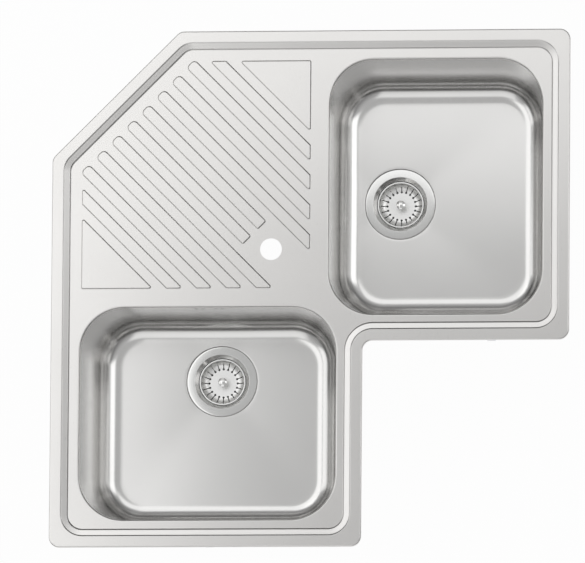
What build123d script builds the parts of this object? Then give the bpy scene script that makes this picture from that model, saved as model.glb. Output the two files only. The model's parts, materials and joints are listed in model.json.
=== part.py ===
"""Corner kitchen sink in pressed stainless steel, with two bowls, a ribbed drainer and a tap hole.

The L-shaped sink drops into a cut-out in a worktop corner. Its deck is one pressed sheet: a flat rim, a soft
step down, a drainer of raised ribs and a rolled collar round each bowl. Two drawn bowls are seam-welded to
the collars. Each bowl has a basket-strainer waste whose plug lifts out, and the left bowl also has an
overflow piped into its waste. Clips on rails under the edge pull the rim down onto the worktop.

Millimetres. The origin is the tap hole's centre at the deck's top face, level with the worktop's top face.
+X runs to the right along the back edge, +Y to the back and +Z up. The layout is alike on both sides of the
diagonal through the cut-off back corner, the tap hole and the inner corner.
"""

import math
import os

from build123d import *

# --- Deck and rim -------------------------------------------------------------------------------------
SIDE = 830.0  # overall length along each back edge
ARM = 500.0  # width of each arm of the L
CORNER_CUT = 204.0  # leg of the cut-off back corner
TAP_INSET = 352.0  # tap hole centre from each back edge
TAP_HOLE = 35.0
GAUGE = 0.8  # sheet thickness of deck and bowls
RIM_HEIGHT = 5.0  # rim's top face above the worktop
RIM_WIDTH = 17.5
STEP_WIDTH = 13.0  # plan width of the soft step from rim to deck
STEP_SOFTNESS = 9.0  # radius where the step meets rim and deck
OUTER_CORNER = 17.0
CUT_CORNER = 17.0  # radius at the two ends of the cut-off corner
NOTCH_CORNER = 16.0  # radius of the rim's inner corner
STEP_CORNER = 36.0  # step's outer line at the square corners
STEP_CUT_CORNER = 34.0  # and at the ends of the cut-off corner
EDGE_ROLL = 2.5  # radius that turns the rim down into its outer lip

# --- Drainer ------------------------------------------------------------------------------------------
RIB_PAIRS = 5  # ribs on each side of the diagonal
RIB_PITCH = 34.0
RIB_WIDTH = 20.0
RIB_HEIGHT = 1.8
RIB_SLOPE = 2.0  # plan width of a rib's sloping side
RIB_END_ROUND = 8.0
RIB_CORNER = 3.2
RIB_BACK_MARGIN = 17.0  # flat deck between the step and the ribs' back ends
RIB_BOWL_MARGIN = 26.5  # flat deck between the bowls and the ribs' front ends
TAP_CLEARANCE = 37.0  # where the two middle ribs stop short of the tap hole

# --- Bowls --------------------------------------------------------------------------------------------
OPENING_LINE = 89.5  # tap hole to the nearest lip of each bowl
WALL_MARGIN = 44.0  # lip to the sink's edge along the wall
NOTCH_MARGIN = 40.0  # lip to the sink's edge at the inner corner
FRONT_MARGIN = 41.5  # lip to the arm's end
BOWL_CORNER = 75.0
BOWL_DEPTH = 180.0  # deck to floor, at the waste
FLOOR_FALL = 2.0  # fall of the floor from front to back
LIP_ROLL = 3.0
COLLAR = 6.0  # depth of the deck's turned-down collar, to which the bowl is welded
LEAN_BACK = 3.0  # how far the wall beside the waste leans in, from collar to floor
LEAN_FRONT = 14.0
LEAN_ENDS = 17.0
FLOOR_ROUND = 33.0

# --- Waste --------------------------------------------------------------------------------------------
WASTE_FROM_LIP = 100.5  # bowl's nearest lip to the waste centre
WASTE_OFF_MIDDLE = 4.0  # waste centre from the bowl's middle, towards the inner corner
FLANGE_RADIUS = 56.0
FLANGE_GAP = 1.0  # ring of clearance between the flange and its recess
RECESS_DEPTH = 2.0
WASTE_HOLE = 91.0
CUP_GAUGE = 0.8
CUP_MOUTH = 44.0  # radius where the flange turns down
CUP_RADIUS = 38.2  # inside radius of the cup
SEAT_DEPTH = 34.0  # floor to the ring on which the stopper seals
SEAT_OPENING = 22.0
PLATE_DEPTH = 39.0  # floor to the drain plate
DRAIN_HOLES = 6
DRAIN_HOLE_RADIUS = 5.0
DRAIN_CIRCLE = 15.5
SEAL_THICKNESS = 1.0  # under the flange
UNDER_SEAL_THICKNESS = 2.0  # between bowl and housing
SEAL_LAND = 8.0  # width of both seals

HOUSING_RADIUS = 45.0
HOUSING_WALL = 2.5
HOUSING_FLANGE = 53.0
HOUSING_FLANGE_THICKNESS = 3.5
HOUSING_SHOULDER = 38.0  # floor to where the housing narrows
OUTLET_TOP = 52.0  # floor to the top of the outlet's thread
OUTLET_LENGTH = 30.0
OUTLET_RADIUS = 23.9  # outside of the G 1 1/2 thread
OUTLET_BORE = 20.0
BOSS_RADIUS = 9.5
BOSS_LENGTH = 18.0
BOSS_RIBS = 4
BOSS_RIB_THICKNESS = 2.5
BOSS_RIB_DROP = 5.0  # cup plate to the top of the boss ribs

SCREW_RADIUS = 6.0
SCREW_LENGTH = 16.0
SCREW_HEAD_RADIUS = 8.5
SCREW_HEAD_HEIGHT = 2.5
SCREW_SLOT = 2.0
SCREW_SLOT_DEPTH = 1.2
THREAD_GAP = 0.05  # between screw and boss
HOLE_GAP = 0.2  # between screw and cup plate

# --- Strainer plug ------------------------------------------------------------------------------------
BASKET_GAUGE = 0.7
BASKET_RIM = 37.2
BASKET_MOUTH = 35.0
BASKET_BASE = 25.0  # radius where wall meets base
BASKET_TOP = 7.0  # floor to the basket's rim
BASKET_DEPTH = 18.0
SLOTS = 20
SLOT_WIDTH = 1.4
SLOT_EYE = 3.4  # diameter of the hole at the foot of each slot
SLOT_EYE_CIRCLE = 22.9
SLOT_TOP = 33.6  # radius where each slot ends below the rim
KNOB_RADIUS = 7.2
KNOB_NECK = 4.2
KNOB_HEIGHT = 19.0
KNOB_CAP = 5.0  # height of the knob's head
KNOB_CROWN = 1.8  # rise of the head's domed top
STEM_RADIUS = 3.0
STEM_LENGTH = 36.0  # below the basket
STEM_COLLAR = 6.0
STEM_COLLAR_HEIGHT = 2.2
TENON_RADIUS = 2.0  # the stem's end on which the knob turns
TENON_LENGTH = 8.0
TENON_BEAD = 2.6  # its head, snapped into the knob
TENON_BEAD_HEIGHT = 1.5
RUNNING_GAP = 0.06  # between stem and what it turns or slides in
FACE_GAP = 0.3  # between faces that meet only when pressed
STOPPER_RADIUS = 27.0
STOPPER_THICKNESS = 4.0
STOPPER_HUB = 8.0
CLIP_RING_RADIUS = 5.4
CLIP_RING_THICKNESS = 0.8

# --- Overflow, left bowl only -------------------------------------------------------------------------
OVERFLOW_DEPTH = 22.0  # deck to the row of holes
OVERFLOW_HOLE = 6.4
OVERFLOW_HOLES_AT = (-21.0, -10.0, 10.0, 21.0)
BOX_HEIGHT = 26.0
BOX_DEPTH = 24.0
BOX_WALL = 2.0
BOX_ROUND = 6.0
BOX_FLANGE_LENGTH = 88.0
STUD_FROM_END = 7.0  # stud's centre from the flange's end
STUD_FROM_BOX = 6.0  # and from the box's end
BOX_FLANGE_THICKNESS = 2.5
STUD_RADIUS = 2.5
STUD_GAP = 0.2  # radial gap round a stud
GASKET_FACE = 2.5  # bowl wall's top line to the gasket's outer face
GASKET_WIDTH = 3.5
SPIGOT_RADIUS = 8.0
SPIGOT_BORE = 6.0
SPIGOT_LENGTH = 15.0
SPIGOT_FROM_FACE = 14.5
PIPE_BEND = 22.0
PORT_DEPTH = 25.0  # floor to the centre of the housing's side port
PORT_LENGTH = 18.0
UNION_RADIUS = 12.5
UNION_LENGTH = 14.0
UNION_SIDE_COUNT = 8
UNION_GAP = 0.1

# --- Underside ----------------------------------------------------------------------------------------
SEAL_INSET = 2.5  # edge seal from the sink's outer edge
EDGE_SEAL_WIDTH = 12.0
PAD_LENGTH = 230.0
PAD_WIDTH = 96.0
PAD_THICKNESS = 2.5
PAD_ROUND = 10.0
PAD_FROM_WASTE = 130.0  # waste centre to the pad's centre

# --- Edge clips ---------------------------------------------------------------------------------------
CLIP_CLEARANCE = 0.5  # between rail and step
RAIL_WIDTH = 8.8
RAIL_HEIGHT = 7.0
RAIL_WALL = 0.8
RAIL_SLOT = 5.6
RAIL_LENGTH = 50.0
BOLT_RADIUS = 2.5
BOLT_HEAD_LENGTH = 10.0
BOLT_HEAD_WIDTH = 6.6
BOLT_HEAD_HEIGHT = 2.4
BOLT_END = 64.0  # deck to the bolt's free end
BOLT_GAP = 0.1  # radial gap round the bolt
STACK_GAP = 0.1  # between claw and nut
WORKTOP_THICKEST = 40.0
CLAW_REACH = 30.0  # bolt to the claw's toothed end
CLAW_WIDTH = 13.0
CLAW_GAUGE = 2.0
CLAW_JAW = 10.0  # height of the toothed end
CLAW_TEETH = 4
TOOTH_DEPTH = 2.0
NUT_FLATS = 8.0
NUT_HEIGHT = 4.0
NUT_COLLAR_RADIUS = 5.4
NUT_COLLAR_HEIGHT = 1.0

# --- Worked out from the above ------------------------------------------------------------------------
ROOT2 = math.sqrt(2)
LEFT_EDGE, BACK_EDGE = -TAP_INSET, TAP_INSET
RIGHT_EDGE, FRONT_EDGE = SIDE - TAP_INSET, TAP_INSET - SIDE
NOTCH = ARM - TAP_INSET  # the inner corner is at (NOTCH, -NOTCH)
STEP_INSET = RIM_WIDTH + STEP_WIDTH  # outer edge to the flat of the deck
BOWL_LONG = ARM - WALL_MARGIN - NOTCH_MARGIN  # opening, lip to lip
BOWL_SHORT = SIDE - TAP_INSET - FRONT_MARGIN - OPENING_LINE
BOWL_ALONG = TAP_INSET - WALL_MARGIN - BOWL_LONG / 2  # bowl centre from the tap hole, along its long side
BOWL_ACROSS = OPENING_LINE + BOWL_SHORT / 2  # and across it
WASTE_ALONG = BOWL_ALONG - WASTE_OFF_MIDDLE
WASTE_ACROSS = OPENING_LINE + WASTE_FROM_LIP
WALL_LONG = BOWL_LONG - 2 * LIP_ROLL
WALL_SHORT = BOWL_SHORT - 2 * LIP_ROLL
WALL_CORNER = BOWL_CORNER - LIP_ROLL
RECESS_FLOOR = -BOWL_DEPTH - RECESS_DEPTH
FLANGE_UNDERSIDE = RECESS_FLOOR + SEAL_THICKNESS
FLANGE_TOP = FLANGE_UNDERSIDE + CUP_GAUGE
SEAT = -BOWL_DEPTH - SEAT_DEPTH
PLATE = -BOWL_DEPTH - PLATE_DEPTH
HOUSING_TOP = RECESS_FLOOR - GAUGE - UNDER_SEAL_THICKNESS
BASKET_RIM_TOP = -BOWL_DEPTH - BASKET_TOP
BASKET_FLOOR = BASKET_RIM_TOP - BASKET_DEPTH
STOPPER_BOTTOM = SEAT + FACE_GAP
LEFT_BOWL_CENTRE = (-BOWL_ALONG, -BOWL_ACROSS)
LEFT_WASTE = (-WASTE_ALONG, -WASTE_ACROSS)
RIGHT_WASTE = (WASTE_ACROSS, WASTE_ALONG)
STUD_SPACING = BOX_FLANGE_LENGTH - 2 * STUD_FROM_END
BOX_LENGTH = STUD_SPACING - 2 * STUD_FROM_BOX
BOX_FACE = -BOWL_ACROSS + WALL_SHORT / 2 + GASKET_FACE  # y of the overflow box's open face
PIPE_Y = BOX_FACE + SPIGOT_FROM_FACE
PORT_HEIGHT = -BOWL_DEPTH - PORT_DEPTH
CLAW_TOP = -WORKTOP_THICKEST - CLAW_JAW  # top face of the claw's base, at rest
DIAGONAL_MIRROR = Plane(origin=(0, 0, 0), z_dir=(1, 1, 0))

# Clip places: x, y and the direction outwards, in degrees.
CLIP_INSET = STEP_INSET + CLIP_CLEARANCE + RAIL_WIDTH / 2
CLIP_FAR = BOWL_ACROSS + BOWL_SHORT / 4
CLIP_NEAR = OPENING_LINE / 3
CLIPS = [
    (LEFT_EDGE + CLIP_INSET, -CLIP_FAR, 180.0),
    (LEFT_EDGE + CLIP_INSET, -CLIP_NEAR, 180.0),
    (CLIP_NEAR, BACK_EDGE - CLIP_INSET, 90.0),
    (CLIP_FAR, BACK_EDGE - CLIP_INSET, 90.0),
    (RIGHT_EDGE - CLIP_INSET, BOWL_ALONG, 0.0),
    (CLIP_FAR, -NOTCH + CLIP_INSET, -90.0),
    (NOTCH - CLIP_INSET, -CLIP_FAR, 0.0),
    (-BOWL_ALONG, FRONT_EDGE + CLIP_INSET, -90.0),
]


# --- Helpers ------------------------------------------------------------------------------------------
def rounded_face(points, radii, z):
    """A face at height z whose polygon has each corner rounded to its own radius."""
    return Pos(0, 0, z) * make_face(FilletPolyline(*points, radius=radii, close=True))


def raised(face, height):
    """The solid from a level face straight up by height."""
    return extrude(face, height, dir=(0, 0, 1))


def tapered(face, height, slope):
    """A level face drawn up, or down if height is negative, with its sides leaning in by slope degrees."""
    return extrude(face, abs(height), dir=(0, 0, math.copysign(1, height)), taper=slope)


def level_edges(shape, z, centre=(0, 0), half=(math.inf, math.inf)):
    """The shape's edges that lie level at height z, inside a plan box about centre."""
    found = []
    for edge in shape.edges():
        box = edge.bounding_box()
        level = abs(box.min.Z - z) < 1e-3 and abs(box.max.Z - z) < 1e-3
        reach_x = max(centre[0] - box.min.X, box.max.X - centre[0])
        reach_y = max(centre[1] - box.min.Y, box.max.Y - centre[1])
        if level and reach_x < half[0] and reach_y < half[1]:
            found.append(edge)
    return found


def turned(points, centre):
    """A solid turned about the vertical through centre, from its half-section of (radius, height) points."""
    section = make_face(Plane.XZ * Polyline(*points, close=True))
    return Pos(*centre, 0) * revolve(section, Axis.Z)


def ring(outer, inner, bottom, top, centre):
    """A plain ring between two heights."""
    return turned([(inner, bottom), (outer, bottom), (outer, top), (inner, top)], centre)


# --- Deck ---------------------------------------------------------------------------------------------
def l_outline(inset, corner, notch_corner, cut_corner, z):
    """The sink's L outline moved in by inset, as a face at height z."""
    cut = CORNER_CUT - TAP_INSET - inset * (1 - ROOT2)
    left, back = LEFT_EDGE + inset, BACK_EDGE - inset
    right, front = RIGHT_EDGE - inset, FRONT_EDGE + inset
    inner = NOTCH - inset
    points = [
        (cut, back),
        (right, back),
        (right, -inner),
        (inner, -inner),
        (inner, front),
        (left, front),
        (left, -cut),
    ]
    return rounded_face(points, [cut_corner, corner, corner, notch_corner, corner, corner, cut_corner], z)


def rib_face(low, high, shape, z):
    """Plan of a rib's foot below the diagonal, between the lines (x + y) / ROOT2 = low and high.

    shape is "middle" for a rib cut off by the tap hole, "plain", "last" for one cut off along the back
    margin, or "panel" for the triangle beyond it.
    """
    margin = STEP_INSET + RIB_BACK_MARGIN
    back = BACK_EDGE - margin
    front = OPENING_LINE - RIB_BOWL_MARGIN
    start = margin - (2 * TAP_INSET - CORNER_CUT) / ROOT2
    crisp, soft = RIB_CORNER, RIB_END_ROUND

    def at(along, across):
        return ((across + along) / ROOT2, (across - along) / ROOT2)

    front_low, front_high = (front, low * ROOT2 - front), (front, high * ROOT2 - front)
    back_low, back_high = (low * ROOT2 - back, back), (high * ROOT2 - back, back)
    if shape == "middle":
        points = [at(start, low), at(start, high), at(-TAP_CLEARANCE, high), at(-TAP_CLEARANCE, low)]
        radii = [soft, soft, crisp, crisp]
    elif shape == "plain":
        points, radii = [at(start, low), at(start, high), front_high, front_low], [soft, soft, crisp, crisp]
    elif shape == "last":
        points, radii = [back_low, back_high, front_high, front_low], [crisp] * 4
    else:
        points, radii = [back_low, (front, back), front_low], [crisp] * 3
    return rounded_face(points, radii, z)


def drainer_ribs(z):
    """All raised ribs and corner panels, standing on height z."""
    slope = math.degrees(math.atan(RIB_SLOPE / RIB_HEIGHT))
    half = []
    for k in range(RIB_PAIRS + 1):
        low = RIB_PITCH * (k + 0.5) - RIB_WIDTH / 2
        shape = {0: "middle", RIB_PAIRS - 1: "last", RIB_PAIRS: "panel"}.get(k, "plain")
        half.append(tapered(rib_face(low, low + RIB_WIDTH, shape, z), RIB_HEIGHT, slope))
    return half + [mirror(rib, about=DIAGONAL_MIRROR) for rib in half]


def bowl_mouth(grow):
    """What the left bowl's rolled opening takes out of the deck, grown for the sheet's other face."""
    bottom, deck = -2 * COLLAR, -grow
    half_long, half_short = WALL_LONG / 2 + grow, WALL_SHORT / 2 + grow
    hole = Pos(*LEFT_BOWL_CENTRE, bottom) * RectangleRounded(2 * half_long, 2 * half_short, WALL_CORNER + grow)
    flare = LIP_ROLL + 1  # the open space above the deck, a little wider than the rolled lip
    above = Pos(*LEFT_BOWL_CENTRE, deck) * RectangleRounded(
        2 * (half_long + flare), 2 * (half_short + flare), WALL_CORNER + grow + flare
    )
    mouth = raised(hole, deck - bottom) + raised(above, COLLAR)
    lip = level_edges(mouth, deck, LEFT_BOWL_CENTRE, (half_long + 0.1, half_short + 0.1))
    return fillet(lip, LIP_ROLL - grow)


def deck_form(lower):
    """Everything under the deck's top face, or under its underside when lower is the sheet's thickness."""
    rim, bottom = RIM_HEIGHT - lower, -COLLAR - lower
    outline = l_outline(lower, OUTER_CORNER - lower, NOTCH_CORNER + lower, CUT_CORNER - lower, bottom)
    form = raised(outline, rim - bottom)
    form = fillet(level_edges(form, rim), EDGE_ROLL - lower)

    step_top = l_outline(RIM_WIDTH, STEP_CORNER, NOTCH_CORNER + RIM_WIDTH, STEP_CUT_CORNER, rim)
    middle = ((LEFT_EDGE + RIGHT_EDGE) / 2, (FRONT_EDGE + BACK_EDGE) / 2)
    pocket = tapered(step_top, -RIM_HEIGHT, math.degrees(math.atan(STEP_WIDTH / RIM_HEIGHT)))
    pocket = fillet(level_edges(pocket, -lower), STEP_SOFTNESS)
    pocket += raised(Pos(*middle, rim) * Rectangle(SIDE + 20, SIDE + 20), RIM_HEIGHT)
    pocket = fillet(level_edges(pocket, rim, middle, (SIDE / 2, SIDE / 2)), STEP_SOFTNESS)

    mouth = bowl_mouth(lower)
    return form - pocket + drainer_ribs(-lower) - [mouth, mirror(mouth, about=DIAGONAL_MIRROR)]


def make_deck():
    """The pressed sheet: rim, step, drainer and collars."""
    sheet = deck_form(0) - deck_form(GAUGE)
    below = raised(l_outline(-1, OUTER_CORNER, NOTCH_CORNER, CUT_CORNER, -2 * COLLAR), 2 * COLLAR)
    inner = l_outline(RIM_WIDTH / 2, OUTER_CORNER, NOTCH_CORNER, CUT_CORNER, -3 * COLLAR)
    outer_skirt = below - raised(inner, 4 * COLLAR)
    return sheet - outer_skirt - Cylinder(TAP_HOLE / 2, 4 * COLLAR)


def make_edge_seal():
    """The soft strip between rim and worktop."""
    outer = l_outline(SEAL_INSET, OUTER_CORNER - SEAL_INSET, NOTCH_CORNER + SEAL_INSET, CUT_CORNER - SEAL_INSET, 0)
    inset = SEAL_INSET + EDGE_SEAL_WIDTH
    inner = l_outline(inset, OUTER_CORNER, NOTCH_CORNER + inset, CUT_CORNER, 0)
    height = RIM_HEIGHT - GAUGE
    return raised(outer, height) - raised(inner, height)


# --- Bowls --------------------------------------------------------------------------------------------
def bowl_form(grow):
    """The left bowl's inside, or its outside when grow is the sheet's thickness.

    Its four walls each have their own lean, and its floor falls towards the waste.
    """
    cx, cy = LEFT_BOWL_CENTRE
    end, side = WALL_LONG / 2 + grow, WALL_SHORT / 2 + grow
    floor_back, floor_front = -BOWL_DEPTH - grow, -BOWL_DEPTH + FLOOR_FALL - grow
    below = 2 * BOWL_DEPTH  # how far the end walls' planes run past the floor
    end_lean = LEAN_ENDS * (below - COLLAR) / (BOWL_DEPTH - COLLAR)
    long_view = Plane.XZ * Polyline(
        (-end, -COLLAR), (end, -COLLAR), (end - end_lean, -below), (end_lean - end, -below), close=True
    )
    short_view = Plane.YZ * Polyline(
        (-side, -COLLAR), (side, -COLLAR), (side - LEAN_BACK, floor_back), (LEAN_FRONT - side, floor_front), close=True
    )
    form = extrude(make_face(long_view), WALL_SHORT, both=True) & extrude(make_face(short_view), WALL_LONG, both=True)
    corners = [e for e in form.edges() if e.bounding_box().size.Z > BOWL_DEPTH / 2]
    form = fillet(corners, WALL_CORNER + grow)
    low = [e for e in form.edges() if e.bounding_box().max.Z < floor_front + GAUGE]
    form = Pos(cx, cy, 0) * fillet(low, FLOOR_ROUND + grow)
    recess = Pos(*LEFT_WASTE, RECESS_FLOOR - grow) * Circle(FLANGE_RADIUS + FLANGE_GAP + grow)
    return form + raised(recess, RECESS_DEPTH + 2 * FLOOR_FALL)


def make_left_bowl():
    """The left bowl, with its waste hole and its row of overflow holes."""
    bowl = bowl_form(GAUGE) - bowl_form(0)
    bowl -= Pos(*LEFT_WASTE, RECESS_FLOOR) * Cylinder(WASTE_HOLE / 2, 4 * RECESS_DEPTH)
    for x in OVERFLOW_HOLES_AT:
        hole = Pos(LEFT_BOWL_CENTRE[0] + x, BOX_FACE, -OVERFLOW_DEPTH) * Rot(90, 0, 0)
        bowl -= hole * Cylinder(OVERFLOW_HOLE / 2, 4 * COLLAR)
    return bowl


def make_right_bowl():
    """The right bowl, with its waste hole only."""
    bowl = bowl_form(GAUGE) - bowl_form(0)
    bowl -= Pos(*LEFT_WASTE, RECESS_FLOOR) * Cylinder(WASTE_HOLE / 2, 4 * RECESS_DEPTH)
    return mirror(bowl, about=DIAGONAL_MIRROR)


def make_left_pad():
    """The sound-deadening pad stuck under the left bowl's floor."""
    plan = RectangleRounded(PAD_LENGTH, PAD_WIDTH, PAD_ROUND)
    centre_y = LEFT_WASTE[1] - PAD_FROM_WASTE
    bottom = -BOWL_DEPTH - GAUGE - PAD_THICKNESS
    slab = raised(Pos(LEFT_BOWL_CENTRE[0], centre_y, bottom) * plan, PAD_THICKNESS + FLOOR_FALL)
    return slab - bowl_form(GAUGE)


# --- Waste --------------------------------------------------------------------------------------------
def make_dish(centre):
    """The steel flange, cup, stopper seat and drain plate, pressed in one piece."""
    g = CUP_GAUGE
    turn = CUP_MOUTH - CUP_RADIUS  # the flange runs down into the cup at 45 degrees
    bend = g * (ROOT2 - 1)
    hole = SCREW_RADIUS + HOLE_GAP
    dish = turned(
        [
            (FLANGE_RADIUS, FLANGE_TOP),
            (CUP_MOUTH, FLANGE_TOP),
            (CUP_RADIUS, FLANGE_TOP - turn),
            (CUP_RADIUS, SEAT),
            (SEAT_OPENING, SEAT),
            (SEAT_OPENING, PLATE),
            (hole, PLATE),
            (hole, PLATE - g),
            (SEAT_OPENING + g, PLATE - g),
            (SEAT_OPENING + g, SEAT - g),
            (CUP_RADIUS + g, SEAT - g),
            (CUP_RADIUS + g, FLANGE_TOP - turn - bend),
            (CUP_MOUTH + bend, FLANGE_UNDERSIDE),
            (FLANGE_RADIUS, FLANGE_UNDERSIDE),
        ],
        centre,
    )
    drains = PolarLocations(DRAIN_CIRCLE, DRAIN_HOLES)
    return dish - Pos(*centre, PLATE) * drains * Cylinder(DRAIN_HOLE_RADIUS, 4 * g)


def make_housing(centre, with_port):
    """The moulded body under the bowl, down to its neck, with its ribbed screw boss and the overflow's port."""
    inside = HOUSING_RADIUS - HOUSING_WALL
    shoulder = -BOWL_DEPTH - HOUSING_SHOULDER
    outlet_top = -BOWL_DEPTH - OUTLET_TOP
    neck = outlet_top - HOUSING_WALL
    flange_bottom = HOUSING_TOP - HOUSING_FLANGE_THICKNESS
    housing = turned(
        [
            (HOUSING_FLANGE, HOUSING_TOP),
            (HOUSING_FLANGE, flange_bottom),
            (HOUSING_RADIUS, flange_bottom),
            (HOUSING_RADIUS, shoulder),
            (OUTLET_RADIUS, neck),
            (OUTLET_BORE, neck),
            (OUTLET_BORE, outlet_top),
            (inside, shoulder),
            (inside, HOUSING_TOP),
        ],
        centre,
    )
    boss_top = PLATE - CUP_GAUGE
    boss_end = boss_top - BOSS_LENGTH
    rib_top = boss_top - BOSS_RIB_DROP
    rib_end = max(boss_end, neck)
    rib = Pos(0, 0, (rib_top + rib_end) / 2) * Box(
        OUTLET_RADIUS + OUTLET_BORE, BOSS_RIB_THICKNESS, rib_top - rib_end
    )
    for k in range(BOSS_RIBS // 2):
        housing += Pos(*centre, 0) * Rot(0, 0, 45 + 180 * k / (BOSS_RIBS // 2)) * rib
    boss_middle = Pos(*centre, (boss_top + boss_end) / 2)
    housing += boss_middle * Cylinder(BOSS_RADIUS, BOSS_LENGTH)
    if with_port:
        length = HOUSING_RADIUS + PORT_LENGTH
        along = Pos(centre[0], centre[1] + length / 2, PORT_HEIGHT) * Rot(90, 0, 0)
        core = Pos(*centre, PORT_HEIGHT) * Cylinder(inside, 4 * SPIGOT_RADIUS)
        housing += along * Cylinder(SPIGOT_RADIUS, length) - core
        housing -= along * Cylinder(SPIGOT_BORE, length)
    return housing - boss_middle * Cylinder(SCREW_RADIUS + THREAD_GAP, 2 * BOSS_LENGTH)


def make_outlet(centre):
    """The outlet tube welded to the housing's neck, as wide as its thread."""
    outlet_top = -BOWL_DEPTH - OUTLET_TOP
    return ring(OUTLET_RADIUS, OUTLET_BORE, outlet_top - OUTLET_LENGTH, outlet_top - HOUSING_WALL, centre)


def make_screw(centre):
    """The hollow screw that pulls the dish down onto the housing and guides the plug's stem."""
    bore = STEM_RADIUS + RUNNING_GAP
    head_top = PLATE + SCREW_HEAD_HEIGHT
    screw = turned(
        [
            (bore, head_top),
            (SCREW_HEAD_RADIUS, head_top),
            (SCREW_HEAD_RADIUS, PLATE),
            (SCREW_RADIUS, PLATE),
            (SCREW_RADIUS, PLATE - SCREW_LENGTH),
            (bore, PLATE - SCREW_LENGTH),
        ],
        centre,
    )
    slot = Pos(*centre, head_top) * Box(3 * SCREW_HEAD_RADIUS, SCREW_SLOT, 2 * SCREW_SLOT_DEPTH)
    return screw - slot


# --- Strainer plug ------------------------------------------------------------------------------------
def make_basket(centre):
    """The pressed basket, with a ring of slots that each start at a round eye."""
    g = BASKET_GAUGE
    bore = TENON_RADIUS + RUNNING_GAP
    basket = turned(
        [
            (BASKET_RIM, BASKET_RIM_TOP),
            (BASKET_MOUTH, BASKET_RIM_TOP),
            (BASKET_BASE, BASKET_FLOOR),
            (bore, BASKET_FLOOR),
            (bore, BASKET_FLOOR - g),
            (BASKET_BASE + g / 2, BASKET_FLOOR - g),
            (BASKET_MOUTH + g, BASKET_RIM_TOP - g),
            (BASKET_RIM, BASKET_RIM_TOP - g),
        ],
        centre,
    )
    eye = Pos(SLOT_EYE_CIRCLE, 0, 0) * Cylinder(SLOT_EYE / 2, 2 * BASKET_DEPTH)
    slot_length = SLOT_TOP - SLOT_EYE_CIRCLE
    slot = Pos(SLOT_EYE_CIRCLE + slot_length / 2, 0, 0) * Box(slot_length, SLOT_WIDTH, 2 * BASKET_DEPTH)
    cutter = eye + slot
    cuts = [Pos(*centre, BASKET_FLOOR) * Rot(0, 0, 360 * k / SLOTS) * cutter for k in range(SLOTS)]
    return basket - cuts


def make_knob(centre):
    """The basket's mushroom knob, snapped over the bead on the stem's end."""
    bore, chamber = TENON_RADIUS + RUNNING_GAP, TENON_BEAD + RUNNING_GAP
    top = BASKET_FLOOR + KNOB_HEIGHT
    cap_bottom = top - KNOB_CAP
    crown_base = top - KNOB_CROWN
    chamber_bottom = BASKET_FLOOR + TENON_LENGTH - TENON_BEAD_HEIGHT - RUNNING_GAP
    chamber_top = BASKET_FLOOR + TENON_LENGTH + FACE_GAP
    outline = Polyline(
        (0, chamber_top),
        (chamber, chamber_top),
        (chamber, chamber_bottom),
        (bore, chamber_bottom),
        (bore, BASKET_FLOOR),
        (KNOB_NECK, BASKET_FLOOR),
        (KNOB_NECK, cap_bottom),
        (KNOB_RADIUS, cap_bottom),
        (KNOB_RADIUS, crown_base),
    )
    dome = (KNOB_RADIUS**2 + KNOB_CROWN**2) / (2 * KNOB_CROWN)  # radius of the domed top
    half_way = KNOB_RADIUS / 2
    crown = ThreePointArc(
        (KNOB_RADIUS, crown_base), (half_way, top - dome + math.sqrt(dome**2 - half_way**2)), (0, top)
    )
    section = make_face(Plane.XZ * (outline + crown + Line((0, top), (0, chamber_top))))
    return Pos(*centre, 0) * revolve(section, Axis.Z)


def make_stem(centre):
    """The turned stem: tenon and bead for the knob, a collar under the basket, and the guide below."""
    collar_top = BASKET_FLOOR - BASKET_GAUGE - FACE_GAP
    tip = BASKET_FLOOR - STEM_LENGTH
    tenon_top = BASKET_FLOOR + TENON_LENGTH
    bead_bottom = tenon_top - TENON_BEAD_HEIGHT
    return turned(
        [
            (0, tenon_top),
            (TENON_BEAD, tenon_top),
            (TENON_BEAD, bead_bottom),
            (TENON_RADIUS, bead_bottom),
            (TENON_RADIUS, collar_top),
            (STEM_COLLAR, collar_top),
            (STEM_COLLAR, collar_top - STEM_COLLAR_HEIGHT),
            (STEM_RADIUS, collar_top - STEM_COLLAR_HEIGHT),
            (STEM_RADIUS, tip + 1),
            (STEM_RADIUS - 1, tip),
            (0, tip),
        ],
        centre,
    )


def make_stopper(centre):
    """The rubber disc that closes the waste, with a hub up to the stem's collar."""
    top = STOPPER_BOTTOM + STOPPER_THICKNESS
    hub_top = BASKET_FLOOR - BASKET_GAUGE - FACE_GAP - STEM_COLLAR_HEIGHT
    edge = STOPPER_THICKNESS / 4
    return turned(
        [
            (STEM_RADIUS, STOPPER_BOTTOM),
            (STOPPER_RADIUS - edge, STOPPER_BOTTOM),
            (STOPPER_RADIUS, STOPPER_BOTTOM + edge),
            (STOPPER_RADIUS, top),
            (STOPPER_HUB, top),
            (STOPPER_HUB, hub_top),
            (STEM_RADIUS, hub_top),
        ],
        centre,
    )


def make_stopper_ring(centre):
    """The spring ring that holds the stopper on the stem."""
    return ring(CLIP_RING_RADIUS, STEM_RADIUS, STOPPER_BOTTOM - CLIP_RING_THICKNESS, STOPPER_BOTTOM, centre)


# --- Overflow -----------------------------------------------------------------------------------------
def box_plan(inset):
    """The overflow box's outline, drawn in by inset, standing on its open face."""
    plane = Plane(origin=(LEFT_BOWL_CENTRE[0], BOX_FACE, -OVERFLOW_DEPTH), x_dir=(1, 0, 0), z_dir=(0, 1, 0))
    return plane * RectangleRounded(BOX_LENGTH - 2 * inset, BOX_HEIGHT - 2 * inset, BOX_ROUND - inset)


def at_studs():
    """The places of the two studs, on the box's open face."""
    x, half = LEFT_BOWL_CENTRE[0], STUD_SPACING / 2
    return [Pos(x + side * half, BOX_FACE, -OVERFLOW_DEPTH) * Rot(-90, 0, 0) for side in (-1, 1)]


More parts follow.
